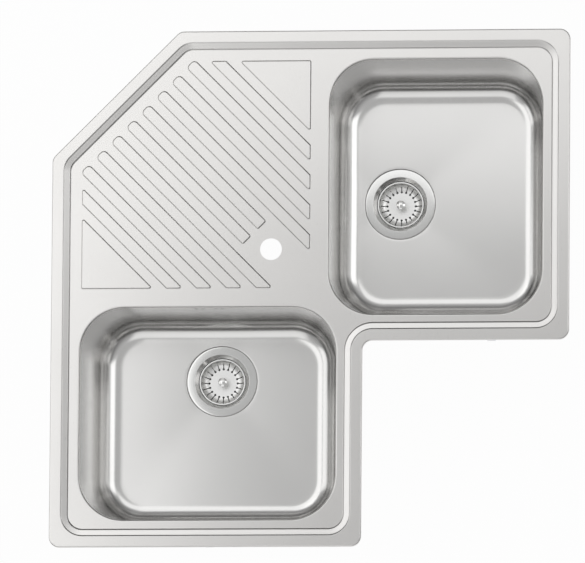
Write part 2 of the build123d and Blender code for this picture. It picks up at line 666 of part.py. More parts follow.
def make_overflow_box():
    """The moulded box behind the overflow holes, with two ears and a spigot for the pipe."""
    box = extrude(box_plan(0), BOX_DEPTH, dir=(0, 1, 0))
    ears = Pos(LEFT_BOWL_CENTRE[0], BOX_FACE + BOX_FLANGE_THICKNESS / 2, -OVERFLOW_DEPTH) * Rot(90, 0, 0)
    ear_width = BOX_FLANGE_LENGTH - STUD_SPACING
    box += ears * extrude(
        RectangleRounded(BOX_FLANGE_LENGTH, ear_width, ear_width * 0.49), BOX_FLANGE_THICKNESS / 2, both=True
    )
    spigot_top = -OVERFLOW_DEPTH - BOX_HEIGHT / 2
    spigot = Pos(LEFT_WASTE[0], PIPE_Y, spigot_top - SPIGOT_LENGTH / 2)
    box += Pos(0, 0, BOX_WALL / 2) * spigot * Cylinder(SPIGOT_RADIUS, SPIGOT_LENGTH + BOX_WALL)
    box -= extrude(box_plan(BOX_WALL), BOX_DEPTH - BOX_WALL, dir=(0, 1, 0))
    box -= spigot * Cylinder(SPIGOT_BORE, SPIGOT_LENGTH + 3 * BOX_WALL)
    for stud in at_studs():
        box -= stud * Cylinder(STUD_RADIUS + STUD_GAP, 3 * BOX_FLANGE_THICKNESS)
    return box


def make_overflow_gasket():
    """The ring seal between the box and the bowl's sloping wall."""
    sealing = extrude(box_plan(0) - box_plan(GASKET_WIDTH), 2 * GASKET_FACE + LEAN_BACK, dir=(0, -1, 0))
    return sealing - bowl_form(GAUGE)


def make_overflow_studs():
    """The two studs welded to the bowl's wall."""
    outer = BOX_FLANGE_THICKNESS + NUT_HEIGHT + 2
    inner = 2 * GASKET_FACE + LEAN_BACK
    studs = []
    for stud in at_studs():
        studs.append(stud * Pos(0, 0, (outer - inner) / 2) * Cylinder(STUD_RADIUS, outer + inner) - bowl_form(GAUGE))
    return Compound(children=studs)


def hex_nut(with_collar):
    """A nut standing on its lower face at the origin, with a washer collar on top if asked for."""
    nut = extrude(RegularPolygon(NUT_FLATS / 2, 6, major_radius=False), NUT_HEIGHT)
    if with_collar:
        nut += Pos(0, 0, NUT_HEIGHT + NUT_COLLAR_HEIGHT / 2) * Cylinder(NUT_COLLAR_RADIUS, NUT_COLLAR_HEIGHT)
    return nut - Cylinder(BOLT_RADIUS + BOLT_GAP, 6 * NUT_HEIGHT)


def make_overflow_nuts():
    """The nuts on the two studs."""
    return Compound(children=[stud * Pos(0, 0, BOX_FLANGE_THICKNESS) * hex_nut(False) for stud in at_studs()])


def make_overflow_pipe():
    """The bent pipe from the box's spigot to the housing's side port."""
    x = LEFT_WASTE[0]
    top = -OVERFLOW_DEPTH - BOX_HEIGHT / 2 - SPIGOT_LENGTH
    end = LEFT_WASTE[1] + HOUSING_RADIUS + PORT_LENGTH
    path = FilletPolyline((x, PIPE_Y, top), (x, PIPE_Y, PORT_HEIGHT), (x, end, PORT_HEIGHT), radius=PIPE_BEND)
    section = Pos(x, PIPE_Y, top) * (Circle(SPIGOT_RADIUS) - Circle(SPIGOT_BORE))
    return sweep(section, path)


def make_overflow_unions():
    """The two coupling sleeves that join the pipe to the box and to the housing."""
    sleeve = extrude(RegularPolygon(UNION_RADIUS, UNION_SIDE_COUNT), UNION_LENGTH / 2, both=True)
    sleeve -= Cylinder(SPIGOT_RADIUS + UNION_GAP, 2 * UNION_LENGTH)
    x = LEFT_WASTE[0]
    top = Pos(x, PIPE_Y, -OVERFLOW_DEPTH - BOX_HEIGHT / 2 - SPIGOT_LENGTH)
    end = Pos(x, LEFT_WASTE[1] + HOUSING_RADIUS + PORT_LENGTH, PORT_HEIGHT) * Rot(90, 0, 0)
    return Compound(children=[top * sleeve, end * sleeve])


# --- Edge clips ---------------------------------------------------------------------------------------
def at_clip(clip):
    """The clip's place: its local X points out towards the sink's edge."""
    x, y, outwards = clip
    return Pos(x, y, 0) * Rot(0, 0, outwards)


def make_rails():
    """The channels welded under the deck, one for each clip."""
    middle = -GAUGE - RAIL_HEIGHT / 2
    inner_width, inner_height = RAIL_WIDTH - 2 * RAIL_WALL, RAIL_HEIGHT - 2 * RAIL_WALL
    rail = Pos(0, 0, middle) * Box(RAIL_WIDTH, RAIL_LENGTH, RAIL_HEIGHT)
    rail -= Pos(0, 0, middle) * Box(inner_width, 2 * RAIL_LENGTH, inner_height)
    rail -= Pos(0, 0, -GAUGE - RAIL_HEIGHT) * Box(RAIL_SLOT, 2 * RAIL_LENGTH, 4 * RAIL_WALL)
    return Compound(children=[at_clip(clip) * rail for clip in CLIPS])


def make_bolts():
    """The T-headed bolts that hang in the rails."""
    seat = -GAUGE - RAIL_HEIGHT + RAIL_WALL
    head = Pos(0, 0, seat + BOLT_HEAD_HEIGHT / 2) * Box(BOLT_HEAD_WIDTH, BOLT_HEAD_LENGTH, BOLT_HEAD_HEIGHT)
    shank_length = BOLT_END + seat
    bolt = head + Pos(0, 0, seat - shank_length / 2) * Cylinder(BOLT_RADIUS, shank_length)
    return Compound(children=[at_clip(clip) * bolt for clip in CLIPS])


def make_claw(clip):
    """The bent steel claw, with a toothed end that grips the worktop's underside."""
    heel = CLAW_WIDTH / 2
    base = Pos(CLAW_REACH / 2, 0, 0) * Box(CLAW_REACH, CLAW_WIDTH, CLAW_GAUGE) + Cylinder(heel, CLAW_GAUGE)
    base = Pos(0, 0, CLAW_TOP - CLAW_GAUGE / 2) * base
    jaw = Pos(CLAW_REACH - CLAW_GAUGE / 2, 0, CLAW_TOP + CLAW_JAW / 2) * Box(CLAW_GAUGE, CLAW_WIDTH, CLAW_JAW)
    claw = base + jaw - Pos(0, 0, CLAW_TOP) * Cylinder(BOLT_RADIUS + BOLT_GAP, 4 * CLAW_GAUGE)
    pitch = CLAW_WIDTH / CLAW_TEETH
    notch_face = make_face(
        Plane.YZ * Polyline((-pitch / 2, 0), (0, -TOOTH_DEPTH), (pitch / 2, 0), close=True)
    )
    notch = extrude(notch_face, 2 * CLAW_REACH, dir=(1, 0, 0))
    for k in range(CLAW_TEETH - 1):
        y = (k + 1) * pitch - CLAW_WIDTH / 2
        claw -= Pos(0, y, CLAW_TOP + CLAW_JAW) * notch
    return at_clip(clip) * claw


def make_clip_nut(clip):
    """The collared nut that carries the claw on its bolt."""
    bottom = CLAW_TOP - CLAW_GAUGE - STACK_GAP - NUT_COLLAR_HEIGHT - NUT_HEIGHT
    return at_clip(clip) * Pos(0, 0, bottom) * hex_nut(True)


# --- The whole sink -----------------------------------------------------------------------------------
left_pad = make_left_pad()
pieces = {
    "sink_top": make_deck(),
    "left_bowl": make_left_bowl(),
    "right_bowl": make_right_bowl(),
    "edge_seal": make_edge_seal(),
    "left_sound_pad": left_pad,
    "right_sound_pad": mirror(left_pad, about=DIAGONAL_MIRROR),
    "overflow_box": make_overflow_box(),
    "overflow_gasket": make_overflow_gasket(),
    "overflow_studs": make_overflow_studs(),
    "overflow_nuts": make_overflow_nuts(),
    "overflow_pipe": make_overflow_pipe(),
    "overflow_unions": make_overflow_unions(),
    "clip_rails": make_rails(),
    "clip_bolts": make_bolts(),
}
for side, centre in (("left", LEFT_WASTE), ("right", RIGHT_WASTE)):
    seal_inner = FLANGE_RADIUS - SEAL_LAND
    pieces[side + "_waste_dish"] = make_dish(centre)
    pieces[side + "_waste_seal"] = ring(FLANGE_RADIUS, seal_inner, RECESS_FLOOR, FLANGE_UNDERSIDE, centre)
    pieces[side + "_under_seal"] = ring(
        HOUSING_FLANGE, HOUSING_FLANGE - SEAL_LAND, HOUSING_TOP, RECESS_FLOOR - GAUGE, centre
    )
    pieces[side + "_waste_housing"] = make_housing(centre, with_port=side == "left")
    pieces[side + "_waste_outlet"] = make_outlet(centre)
    pieces[side + "_waste_screw"] = make_screw(centre)
    pieces[side + "_basket"] = make_basket(centre)
    pieces[side + "_knob"] = make_knob(centre)
    pieces[side + "_stem"] = make_stem(centre)
    pieces[side + "_stopper"] = make_stopper(centre)
    pieces[side + "_stopper_ring"] = make_stopper_ring(centre)
for number, clip in enumerate(CLIPS, start=1):
    pieces["claw_" + str(number)] = make_claw(clip)
    pieces["clip_nut_" + str(number)] = make_clip_nut(clip)

os.makedirs("parts", exist_ok=True)
for name, piece in pieces.items():
    export_step(piece, "parts/" + name + ".step")
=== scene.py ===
"""Corner kitchen sink: fine sheet-metal meshes, finishes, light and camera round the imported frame.

Lengths named in millimetres are turned into metres by MM where they meet Blender.
"""

import json
import math

import bmesh
import bpy
from mathutils import Matrix, Vector


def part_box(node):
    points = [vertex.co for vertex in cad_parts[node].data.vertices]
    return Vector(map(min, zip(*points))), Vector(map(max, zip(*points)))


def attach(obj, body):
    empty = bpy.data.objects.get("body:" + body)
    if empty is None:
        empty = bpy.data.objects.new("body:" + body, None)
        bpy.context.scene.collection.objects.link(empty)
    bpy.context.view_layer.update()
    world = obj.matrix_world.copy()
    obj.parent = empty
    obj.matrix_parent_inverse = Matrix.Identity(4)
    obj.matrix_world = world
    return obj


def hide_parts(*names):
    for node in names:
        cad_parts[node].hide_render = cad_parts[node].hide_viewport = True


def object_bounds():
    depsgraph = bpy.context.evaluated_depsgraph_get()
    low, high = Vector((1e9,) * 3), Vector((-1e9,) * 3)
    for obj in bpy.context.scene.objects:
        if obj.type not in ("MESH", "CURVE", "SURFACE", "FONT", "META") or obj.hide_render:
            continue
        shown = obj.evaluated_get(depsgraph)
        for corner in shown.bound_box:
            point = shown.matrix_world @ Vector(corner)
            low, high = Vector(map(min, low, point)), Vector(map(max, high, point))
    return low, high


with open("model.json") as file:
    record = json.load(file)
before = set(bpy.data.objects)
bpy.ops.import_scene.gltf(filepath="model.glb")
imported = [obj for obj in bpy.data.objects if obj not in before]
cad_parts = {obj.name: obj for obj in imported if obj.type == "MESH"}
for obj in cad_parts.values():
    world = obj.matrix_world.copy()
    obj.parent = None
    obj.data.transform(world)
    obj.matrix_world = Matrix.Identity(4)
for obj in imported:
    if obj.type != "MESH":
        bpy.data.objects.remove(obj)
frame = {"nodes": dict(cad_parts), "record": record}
cad_bounds = [list(corner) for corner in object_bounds()]

MM = 0.001
SAME_PLACE = 1e-6  # metres; vertices closer than this are joined
ROOT2 = math.sqrt(2)

# --- Deck, in millimetres -----------------------------------------------------------------------------
TAP_INSET = 352.0  # tap hole centre from each back edge
SIDE = 830.0
ARM = 500.0
CORNER_CUT = 204.0
TAP_HOLE_RADIUS = 17.5
GAUGE = 0.8
RIM_TOP = 5.0
RIM_WIDTH = 17.5
STEP_WIDTH = 13.0
EDGE_ROLL = 2.5
OUTER_RADII = (17.0, 17.0, 16.0)  # square corners, ends of the cut-off corner, inner corner
STEP_TOP_RADII = (36.0, 34.0, 33.5)
LIP_ROLL = 3.0
COLLAR = 6.0

# --- Drainer ------------------------------------------------------------------------------------------
# The deck in the frame is flat here: the ribs and corner panels are made in this file alone.
RIB_PAIRS = 5
RIB_PITCH = 34.0
RIB_WIDTH = 20.0
RIB_HEIGHT = 1.8
RIB_FLANK = 2.2
RIB_END_ROUND = 8.0
RIB_CORNER = 3.2
RIB_BACK_MARGIN = 17.0
RIB_BOWL_MARGIN = 26.5
TAP_CLEARANCE = 37.0

# --- Bowls --------------------------------------------------------------------------------------------
BOWL_LONG = 416.0
BOWL_SHORT = 347.0
BOWL_CORNER = 75.0
BOWL_CENTRE = (-100.0, -263.0)  # left bowl; the right bowl is its mirror image in the diagonal
BOWL_DEPTH = 180.0
FLOOR_FALL = 2.0
LEAN_BACK = 3.0
LEAN_FRONT = 14.0
LEAN_ENDS = 17.0
FLOOR_ROUND = 33.0
WASTE_CENTRE = (-96.0, -190.0)
RECESS_RADIUS = 57.0
RECESS_DEPTH = 2.0
RECESS_ROUND = 1.2
WASTE_HOLE_RADIUS = 45.5
OVERFLOW_DEPTH = 22.0
OVERFLOW_HOLE_RADIUS = 3.2
OVERFLOW_HOLES_AT = (-21.0, -10.0, 10.0, 21.0)  # from the bowl's middle

LEFT_EDGE, BACK_EDGE = -TAP_INSET, TAP_INSET
RIGHT_EDGE, FRONT_EDGE = SIDE - TAP_INSET, TAP_INSET - SIDE
NOTCH = ARM - TAP_INSET
STEP_INSET = RIM_WIDTH + STEP_WIDTH
OPENING_LINE = -BOWL_CENTRE[1] - BOWL_SHORT / 2


# --- Mesh helpers -------------------------------------------------------------------------------------
def rounded_ring(corners, radii, arc_steps, side_steps=1):
    """Points round a polygon with rounded corners, counter-clockwise.

    Each arc and each side has a set number of points, so rings of the same polygon at other sizes match
    point for point. A corner of radius 0 is kept.
    """
    count = len(corners)
    arcs = []
    for k in range(count):
        corner = Vector(corners[k])
        if not radii[k]:
            arcs.append([(corner.x, corner.y)])
            continue
        before = (Vector(corners[k - 1]) - corner).normalized()
        after = (Vector(corners[(k + 1) % count]) - corner).normalized()
        half = before.angle(after) / 2
        radius = max(radii[k], 0.01)
        centre = corner + (before + after).normalized() * (radius / math.sin(half))
        start = corner + before * (radius / math.tan(half)) - centre
        turn = math.pi - 2 * half
        if before.x * after.y - before.y * after.x > 0:
            turn = -turn
        arc = []
        for i in range(arc_steps + 1):
            cos, sin = math.cos(turn * i / arc_steps), math.sin(turn * i / arc_steps)
            arc.append((centre.x + start.x * cos - start.y * sin, centre.y + start.x * sin + start.y * cos))
        arcs.append(arc)
    points = []
    for k in range(count):
        points += arcs[k]
        (x0, y0), (x1, y1) = arcs[k][-1], arcs[(k + 1) % count][0]
        for i in range(1, side_steps):
            share = i / side_steps
            points.append((x0 + (x1 - x0) * share, y0 + (y1 - y0) * share))
    return points


def at_height(ring, z):
    return [(x, y, z) for x, y in ring]


def circle_ring(centre, radius, z, count):
    """A level circle, counter-clockwise."""
    angles = [2 * math.pi * k / count for k in range(count)]
    return [(centre[0] + radius * math.cos(a), centre[1] + radius * math.sin(a), z) for a in angles]


def mirrored(points):
    """Points mirrored in the diagonal, in an order that keeps faces the right way out."""
    return [(-p[1], -p[0]) + tuple(p[2:]) for p in reversed(points)]


def new_object(name, data):
    """An object put into the scene."""
    made = bpy.data.objects.new(name, data)
    bpy.context.scene.collection.objects.link(made)
    return made


class SheetMesh:
    """Gathers rings, bands and flat fills into one mesh, then joins what meets."""

    def __init__(self):
        self.bm = bmesh.new()

    def ring(self, points):
        return [self.bm.verts.new((x * MM, y * MM, z * MM)) for x, y, z in points]

    def band(self, rings):
        """Quads between closed rings that match point for point, given from outer to inner."""
        placed = [self.ring(points) for points in rings]
        for outer, inner in zip(placed, placed[1:]):
            count = len(outer)
            for k in range(count):
                after = (k + 1) % count
                self.bm.faces.new((outer[k], outer[after], inner[after], inner[k]))
        return placed

    def fill(self, loops):
        """A flat face between closed loops of vertices: the first is the outline and the rest are holes."""
        edges = []
        for loop in loops:
            for k, vert in enumerate(loop):
                pair = (vert, loop[(k + 1) % len(loop)])
                edges.append(self.bm.edges.get(pair) or self.bm.edges.new(pair))
        made = bmesh.ops.triangle_fill(self.bm, use_beauty=True, use_dissolve=False, edges=edges)
        faces = [f for f in made["geom"] if isinstance(f, bmesh.types.BMFace)]
        for face in faces:
            if face.normal.z < 0:
                face.normal_flip()

    def prism(self, loops):
        """A closed block between two loops that match point for point."""
        for end in self.band(loops):
            self.bm.faces.new(end)
        bmesh.ops.recalc_face_normals(self.bm, faces=self.bm.faces)

    def finish(self, name, material):
        bmesh.ops.remove_doubles(self.bm, verts=self.bm.verts, dist=SAME_PLACE)
        mesh = bpy.data.meshes.new(name)
        self.bm.to_mesh(mesh)
        self.bm.free()
        piece = new_object(name, mesh)
        mesh.materials.append(material)
        mesh.polygons.foreach_set("use_smooth", [True] * len(mesh.polygons))
        return piece


def l_ring(inset, radii):
    """The sink's outline moved in by inset, counter-clockwise."""
    square, cut_end, inner_corner = radii
    cut = CORNER_CUT - TAP_INSET - inset * (1 - ROOT2)
    left, back = LEFT_EDGE + inset, BACK_EDGE - inset
    right, front = RIGHT_EDGE - inset, FRONT_EDGE + inset
    inner = NOTCH - inset
    corners = [
        (left, -cut),
        (left, front),
        (inner, front),
        (inner, -inner),
        (right, -inner),
        (right, back),
        (cut, back),
    ]
    corner_radii = [cut_end, square, square, inner_corner, square, square, cut_end]
    return rounded_ring(corners, corner_radii, arc_steps=14, side_steps=8)


# --- Finishes -----------------------------------------------------------------------------------------
def new_finish(name):
    """A material with its shader, node maker and link maker."""
    material = bpy.data.materials.new(name)
    material.use_nodes = True
    nodes, links = material.node_tree.nodes, material.node_tree.links
    return material, nodes["Principled BSDF"], nodes.new, links.new


def even(scale):
    """The same scale along X, Y and Z."""
    return (scale, scale, scale)


def noise_on_object(node, link, scale, detail, roughness=0.5):
    """A noise read on Object coordinates, stretched by scale = (x, y, z)."""
    place = node("ShaderNodeTexCoord")
    mapping = node("ShaderNodeMapping")
    mapping.inputs["Scale"].default_value = scale
    noise = node("ShaderNodeTexNoise")
    noise.inputs["Scale"].default_value = 1.0
    noise.inputs["Detail"].default_value = detail
    noise.inputs["Roughness"].default_value = roughness
    link(place.outputs["Object"], mapping.inputs["Vector"])
    link(mapping.outputs["Vector"], noise.inputs["Vector"])
    return noise.outputs["Fac"]


def spread(node, link, value, low, high, start=0.3, end=0.7):
    """value moved from the range start to end onto the range low to high."""
    ranged = node("ShaderNodeMapRange")
    for key, number in (("From Min", start), ("From Max", end), ("To Min", low), ("To Max", high)):
        ranged.inputs[key].default_value = number
    link(value, ranged.inputs["Value"])
    return ranged.outputs["Result"]


def tint(node, link, share, shader, colour, dark, light):
    """Base colour between dark and light times the given colour."""
    mix = node("ShaderNodeMix")
    mix.data_type = "RGBA"
    mix.inputs["A"].default_value = (*[c * dark for c in colour], 1)
    mix.inputs["B"].default_value = (*[min(c * light, 1) for c in colour], 1)
    link(share, mix.inputs["Factor"])
    link(mix.outputs["Result"], shader.inputs["Base Color"])


def bump(node, link, height, shader, distance, strength=1.0):
    raised = node("ShaderNodeBump")
    raised.inputs["Distance"].default_value = distance
    raised.inputs["Strength"].default_value = strength
    link(height, raised.inputs["Height"])
    link(raised.outputs["Normal"], shader.inputs["Normal"])


def steel_finish(name, colour, roughness, grain, streak):
    """Stainless steel: colour clouds, brushed streaks stretched by grain, and a fine bump."""
    material, shader, node, link = new_finish(name)
    shader.inputs["Metallic"].default_value = 1.0
    lines = noise_on_object(node, link, grain, detail=6.0, roughness=0.6)
    clouds = noise_on_object(node, link, even(7.0), detail=3.0)
    tint(node, link, clouds, shader, colour, 0.96, 1.03)
    link(spread(node, link, lines, roughness - streak, roughness + streak), shader.inputs["Roughness"])
    bump(node, link, lines, shader, distance=1e-7)
    return material


def rubber_finish(name, colour, roughness):
    """Moulded rubber or foam with a fine skin."""
    material, shader, node, link = new_finish(name)
    skin = noise_on_object(node, link, even(900.0), detail=3.0)
    tone = noise_on_object(node, link, even(40.0), detail=2.0)
    tint(node, link, tone, shader, colour, 0.8, 1.25)
    link(spread(node, link, skin, roughness - 0.08, roughness + 0.1), shader.inputs["Roughness"])
    bump(node, link, skin, shader, distance=4e-5, strength=0.6)
    return material


def plastic_finish(name, colour, roughness):
    """Moulded plastic with a soft, slightly uneven sheen."""
    material, shader, node, link = new_finish(name)
    shader.inputs["IOR"].default_value = 1.49
    flow = noise_on_object(node, link, (60.0, 60.0, 18.0), detail=3.0)
    fine = noise_on_object(node, link, even(1500.0), detail=2.0)
    tint(node, link, flow, shader, colour, 0.97, 1.02)
    link(spread(node, link, flow, roughness - 0.05, roughness + 0.08), shader.inputs["Roughness"])
    bump(node, link, fine, shader, distance=1.5e-5, strength=0.5)
    return material


BRUSHED_GRAIN = (2600.0, 60.0, 2600.0)  # long streaks along Y
DRAWN_GRAIN = (1400.0, 1400.0, 16.0)  # long streaks up the walls
# Each steel's colour, roughness, grain and streak.
DECK_STEEL = steel_finish("satin deck steel", (0.80, 0.79, 0.775), 0.30, BRUSHED_GRAIN, 0.03)
BOWL_STEEL = steel_finish("drawn bowl steel", (0.78, 0.775, 0.765), 0.20, DRAWN_GRAIN, 0.035)
STRAINER_STEEL = steel_finish("polished strainer steel", (0.82, 0.82, 0.81), 0.12, even(900.0), 0.03)
# The basket's steel colour is painted nearly white, well above the strainer steel: part of that lightness is
# painted brightness that stands in for reflected light it does not get.
BASKET_STEEL_PAINTED_BRIGHT = steel_finish("strainer basket steel", (0.93, 0.93, 0.92), 0.34, even(900.0), 0.03)
CLIP_STEEL = steel_finish("zinc-plated clip steel", (0.62, 0.63, 0.65), 0.30, even(180.0), 0.10)
# Each of the others' colour and roughness.
SEAL_RUBBER = rubber_finish("black seal rubber", (0.03, 0.03, 0.03), 0.55)
EDGE_FOAM = rubber_finish("grey edge foam", (0.12, 0.12, 0.12), 0.8)
PAD_BITUMEN = rubber_finish("grey sound pad", (0.16, 0.16, 0.165), 0.7)
WASTE_PLASTIC = plastic_finish("white waste plastic", (0.80, 0.80, 0.79), 0.42)


# --- Deck ---------------------------------------------------------------------------------------------
def soft(value, start, end):
    """0 before start, 1 after end, and a smooth rise between."""
    share = min(max((value - start) / (end - start), 0.0), 1.0)
    return share * share * (3 - 2 * share)


def rim_rings():
    """The sink's edge from its turned-down lip over the rolled corner to the flat rim."""
    mid_lip, steps = 1.4, 8
    rings = [at_height(l_ring(0, OUTER_RADII), z) for z in (0.0, mid_lip)]
    for k in range(steps + 1):
        angle = math.radians(90 * k / steps)
        inset, z = EDGE_ROLL * (1 - math.cos(angle)), RIM_TOP - EDGE_ROLL * (1 - math.sin(angle))
        square, cut_end, inner = OUTER_RADII
        rings.append(at_height(l_ring(inset, (square - inset, cut_end - inset, inner + inset)), z))
    return rings


def step_rings():
    """The soft step down from rim to deck: a crease at each edge and an easy slope between."""
    top_crease, slope, foot_crease = 1.3, 1.8, 1.9  # their drops, which add up to RIM_TOP
    top_end, foot_start = 2.6, 10.2
    insets = [0, 0.3, 0.6, 0.9, 1.2, 1.5, 1.8, 2.1, 2.4, 2.8, 3.4, 4.4, 5.6, 6.8, 8.0, 9.0, 9.8, 10.2]
    insets += [10.5, 10.8, 11.1, 11.4, 11.7, 12.0, 12.3, 12.6, 12.8, 13.0]
    rings = []
    for inset in insets:
        drop = top_crease * soft(inset, 0, top_end) + slope * soft(inset, 0, STEP_WIDTH)
        drop += foot_crease * soft(inset, foot_start, STEP_WIDTH)
        square, cut_end, inner = STEP_TOP_RADII
        radii = (square - inset, cut_end - inset, inner + inset)
        rings.append(at_height(l_ring(RIM_WIDTH + inset, radii), RIM_TOP - drop))
    return rings


def rib_corners(low, high, shape, shrink):
    """Corners of a rib beside the diagonal, counter-clockwise, drawn in by shrink, with their radii."""
    low, high = low + shrink, high - shrink
    margin = STEP_INSET + RIB_BACK_MARGIN + shrink
    back = BACK_EDGE - margin
    front = OPENING_LINE - RIB_BOWL_MARGIN - shrink
    start = margin - (2 * TAP_INSET - CORNER_CUT) / ROOT2
    crisp, round_end = RIB_CORNER - shrink, RIB_END_ROUND - shrink

    def at(along, across):
        return ((across + along) / ROOT2, (across - along) / ROOT2)

    front_low, front_high = (front, low * ROOT2 - front), (front, high * ROOT2 - front)
    back_low, back_high = (low * ROOT2 - back, back), (high * ROOT2 - back, back)
    if shape == "middle":
        stop = -TAP_CLEARANCE - shrink
        corners = [at(start, low), at(stop, low), at(stop, high), at(start, high)]
        return corners, [round_end, crisp, crisp, round_end]
    if shape == "plain":
        return [at(start, low), front_low, front_high, at(start, high)], [round_end, crisp, crisp, round_end]
    if shape == "last":
        return [back_low, front_low, front_high, back_high], [crisp] * 4
    return [back_low, front_low, (front, back)], [crisp] * 3


def rib_rings():
    """For each rib and corner panel, its rings from foot to crown."""
    shares = [0, 0.08, 0.2, 0.35, 0.5, 0.65, 0.8, 0.92, 1]
    ribs = []
    for k in range(RIB_PAIRS + 1):
        low = RIB_PITCH * (k + 0.5) - RIB_WIDTH / 2
        shape = {0: "middle", RIB_PAIRS - 1: "last", RIB_PAIRS: "panel"}.get(k, "plain")
        rings = []
        for share in shares:
            corners, radii = rib_corners(low, low + RIB_WIDTH, shape, RIB_FLANK * share)
            ring = rounded_ring(corners, radii, arc_steps=8, side_steps=10)
            rings.append(at_height(ring, RIB_HEIGHT * soft(share, 0, 1)))
        ribs += [rings, [mirrored(ring) for ring in rings]]
    return ribs


def bowl_ring(left, right, front, back, radius, z):
    """A level rounded rectangle of the left bowl."""
    corners = [(left, front), (right, front), (right, back), (left, back)]
    return at_height(rounded_ring(corners, [radius] * 4, arc_steps=24, side_steps=20), z)


def mouth_rings():
    """The left bowl's rolled lip and collar, from the deck down to the weld."""
    cx, cy = BOWL_CENTRE
    half_long, half_short = BOWL_LONG / 2 - LIP_ROLL, BOWL_SHORT / 2 - LIP_ROLL
    steps = 10
    rings = []
    for k in range(steps + 1):
        angle = math.radians(90 * k / steps)
        grow, z = LIP_ROLL * (1 - math.sin(angle)), -LIP_ROLL * (1 - math.cos(angle))
        sides = (cx - half_long - grow, cx + half_long + grow, cy - half_short - grow, cy + half_short + grow)
        rings.append(bowl_ring(*sides, BOWL_CORNER - LIP_ROLL + grow, z))
    rings.append([(x, y, -COLLAR) for x, y, _ in rings[-1]])
    return rings


def give_thickness(piece, thickness):
    """Turns a single skin into a sheet of its real thickness, on the side away from its normals."""
    solidify = piece.modifiers.new("thickness", "SOLIDIFY")
    solidify.thickness = thickness * MM
    solidify.offset = -1
    solidify.use_even_offset = True
    bake_modifiers(piece)


def bake_modifiers(piece):
    """Replaces a piece's mesh by what its modifiers make of it."""
    graph = bpy.context.evaluated_depsgraph_get()
    done = bpy.data.meshes.new_from_object(piece.evaluated_get(graph))
    piece.modifiers.clear()
    old = piece.data
    piece.data = done
    bpy.data.meshes.remove(old)


def make_deck():
    sheet = SheetMesh()
    sheet.band(rim_rings() + step_rings())
    inner_step = step_rings()[-1]
    outline = sheet.ring(inner_step)
    holes = []
    lip = mouth_rings()
    for rings in (lip, [mirrored(ring) for ring in lip]):
        holes.append(sheet.band(rings)[0])
    for rings in rib_rings():
        placed = sheet.band(rings)
        holes.append(placed[0])
        sheet.fill([placed[-1]])
    holes.append(sheet.ring(circle_ring((0, 0), TAP_HOLE_RADIUS, 0, 72)))
    sheet.fill([outline] + holes)
    deck = sheet.finish("pressed_deck", DECK_STEEL)
    give_thickness(deck, GAUGE)
    crisp_edges(deck)
    return deck


def dressed(piece, slot, body, *nodes):
    """Puts a finished piece on its body, in the place of the nodes that it stands for."""
    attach(piece, body)
    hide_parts(*nodes)
    return piece


# --- Bowls --------------------------------------------------------------------------------------------
WALL_HALF_LONG = BOWL_LONG / 2 - LIP_ROLL
WALL_HALF_SHORT = BOWL_SHORT / 2 - LIP_ROLL
WALL_CORNER = BOWL_CORNER - LIP_ROLL
WALL_DROP = BOWL_DEPTH - COLLAR


def wall_inset(z, lean):
    """How far a wall of this lean stands in from its top line at height z, down into the floor's round."""
    slope = math.atan2(lean, WALL_DROP)
    centre_z = FLOOR_ROUND - BOWL_DEPTH
    tangent_z = centre_z - FLOOR_ROUND * math.sin(slope)
    if z >= tangent_z:
        return lean * (-COLLAR - z) / WALL_DROP
    centre = lean * (-COLLAR - tangent_z) / WALL_DROP + FLOOR_ROUND * math.cos(slope)
    return centre - math.sqrt(max(FLOOR_ROUND**2 - (centre_z - z) ** 2, 0.0))


def wall_box(z):
    """Left, right, front and back of the left bowl's walls at height z."""
    cx, cy = BOWL_CENTRE
    ends, front, back = (wall_inset(z, lean) for lean in (LEAN_ENDS, LEAN_FRONT, LEAN_BACK))
    left, right = cx - WALL_HALF_LONG + ends, cx + WALL_HALF_LONG - ends
    return left, right, cy - WALL_HALF_SHORT + front, cy + WALL_HALF_SHORT - back


def floor_lift(x, y):
    """The floor's fall to the waste: four faint planes that meet in soft folds."""
    left, right, front, back = wall_box(-BOWL_DEPTH)
    wx, wy = WASTE_CENTRE
    near_share, sharpness = 0.25, 8
    shares = [
        max((x - wx) / (right - wx), 0),
        max((x - wx) / (left - wx), 0),
        max((y - wy) / (front - wy), 0),
        max((y - wy) / (back - wy), 0) * near_share,
    ]
    return FLOOR_FALL * sum(share**sharpness for share in shares) ** (1 / sharpness)


def wall_rings():
    """The left bowl's four walls and the round down to its floor."""
    round_top = FLOOR_ROUND - BOWL_DEPTH
    straight, bent = 9, 15  # steps down the walls and round to the floor
    heights = [-COLLAR + (round_top + COLLAR) * k / straight for k in range(straight + 1)]
    bends = [math.radians(90 * k / bent) for k in range(1, bent + 1)]
    heights += [round_top - FLOOR_ROUND * math.sin(angle) for angle in bends]
    rings = []
    for z in heights:
        below = max(round_top - z, 0.0)
        corner = WALL_CORNER - FLOOR_ROUND + math.sqrt(max(FLOOR_ROUND**2 - below**2, 0.0))
        ring = bowl_ring(*wall_box(z), corner, z)
        lifted = soft(-z, BOWL_DEPTH - 2 * FLOOR_ROUND, BOWL_DEPTH)
        rings.append([(x, y, z + lifted * floor_lift(x, y)) for x, y, z in ring])
    return rings


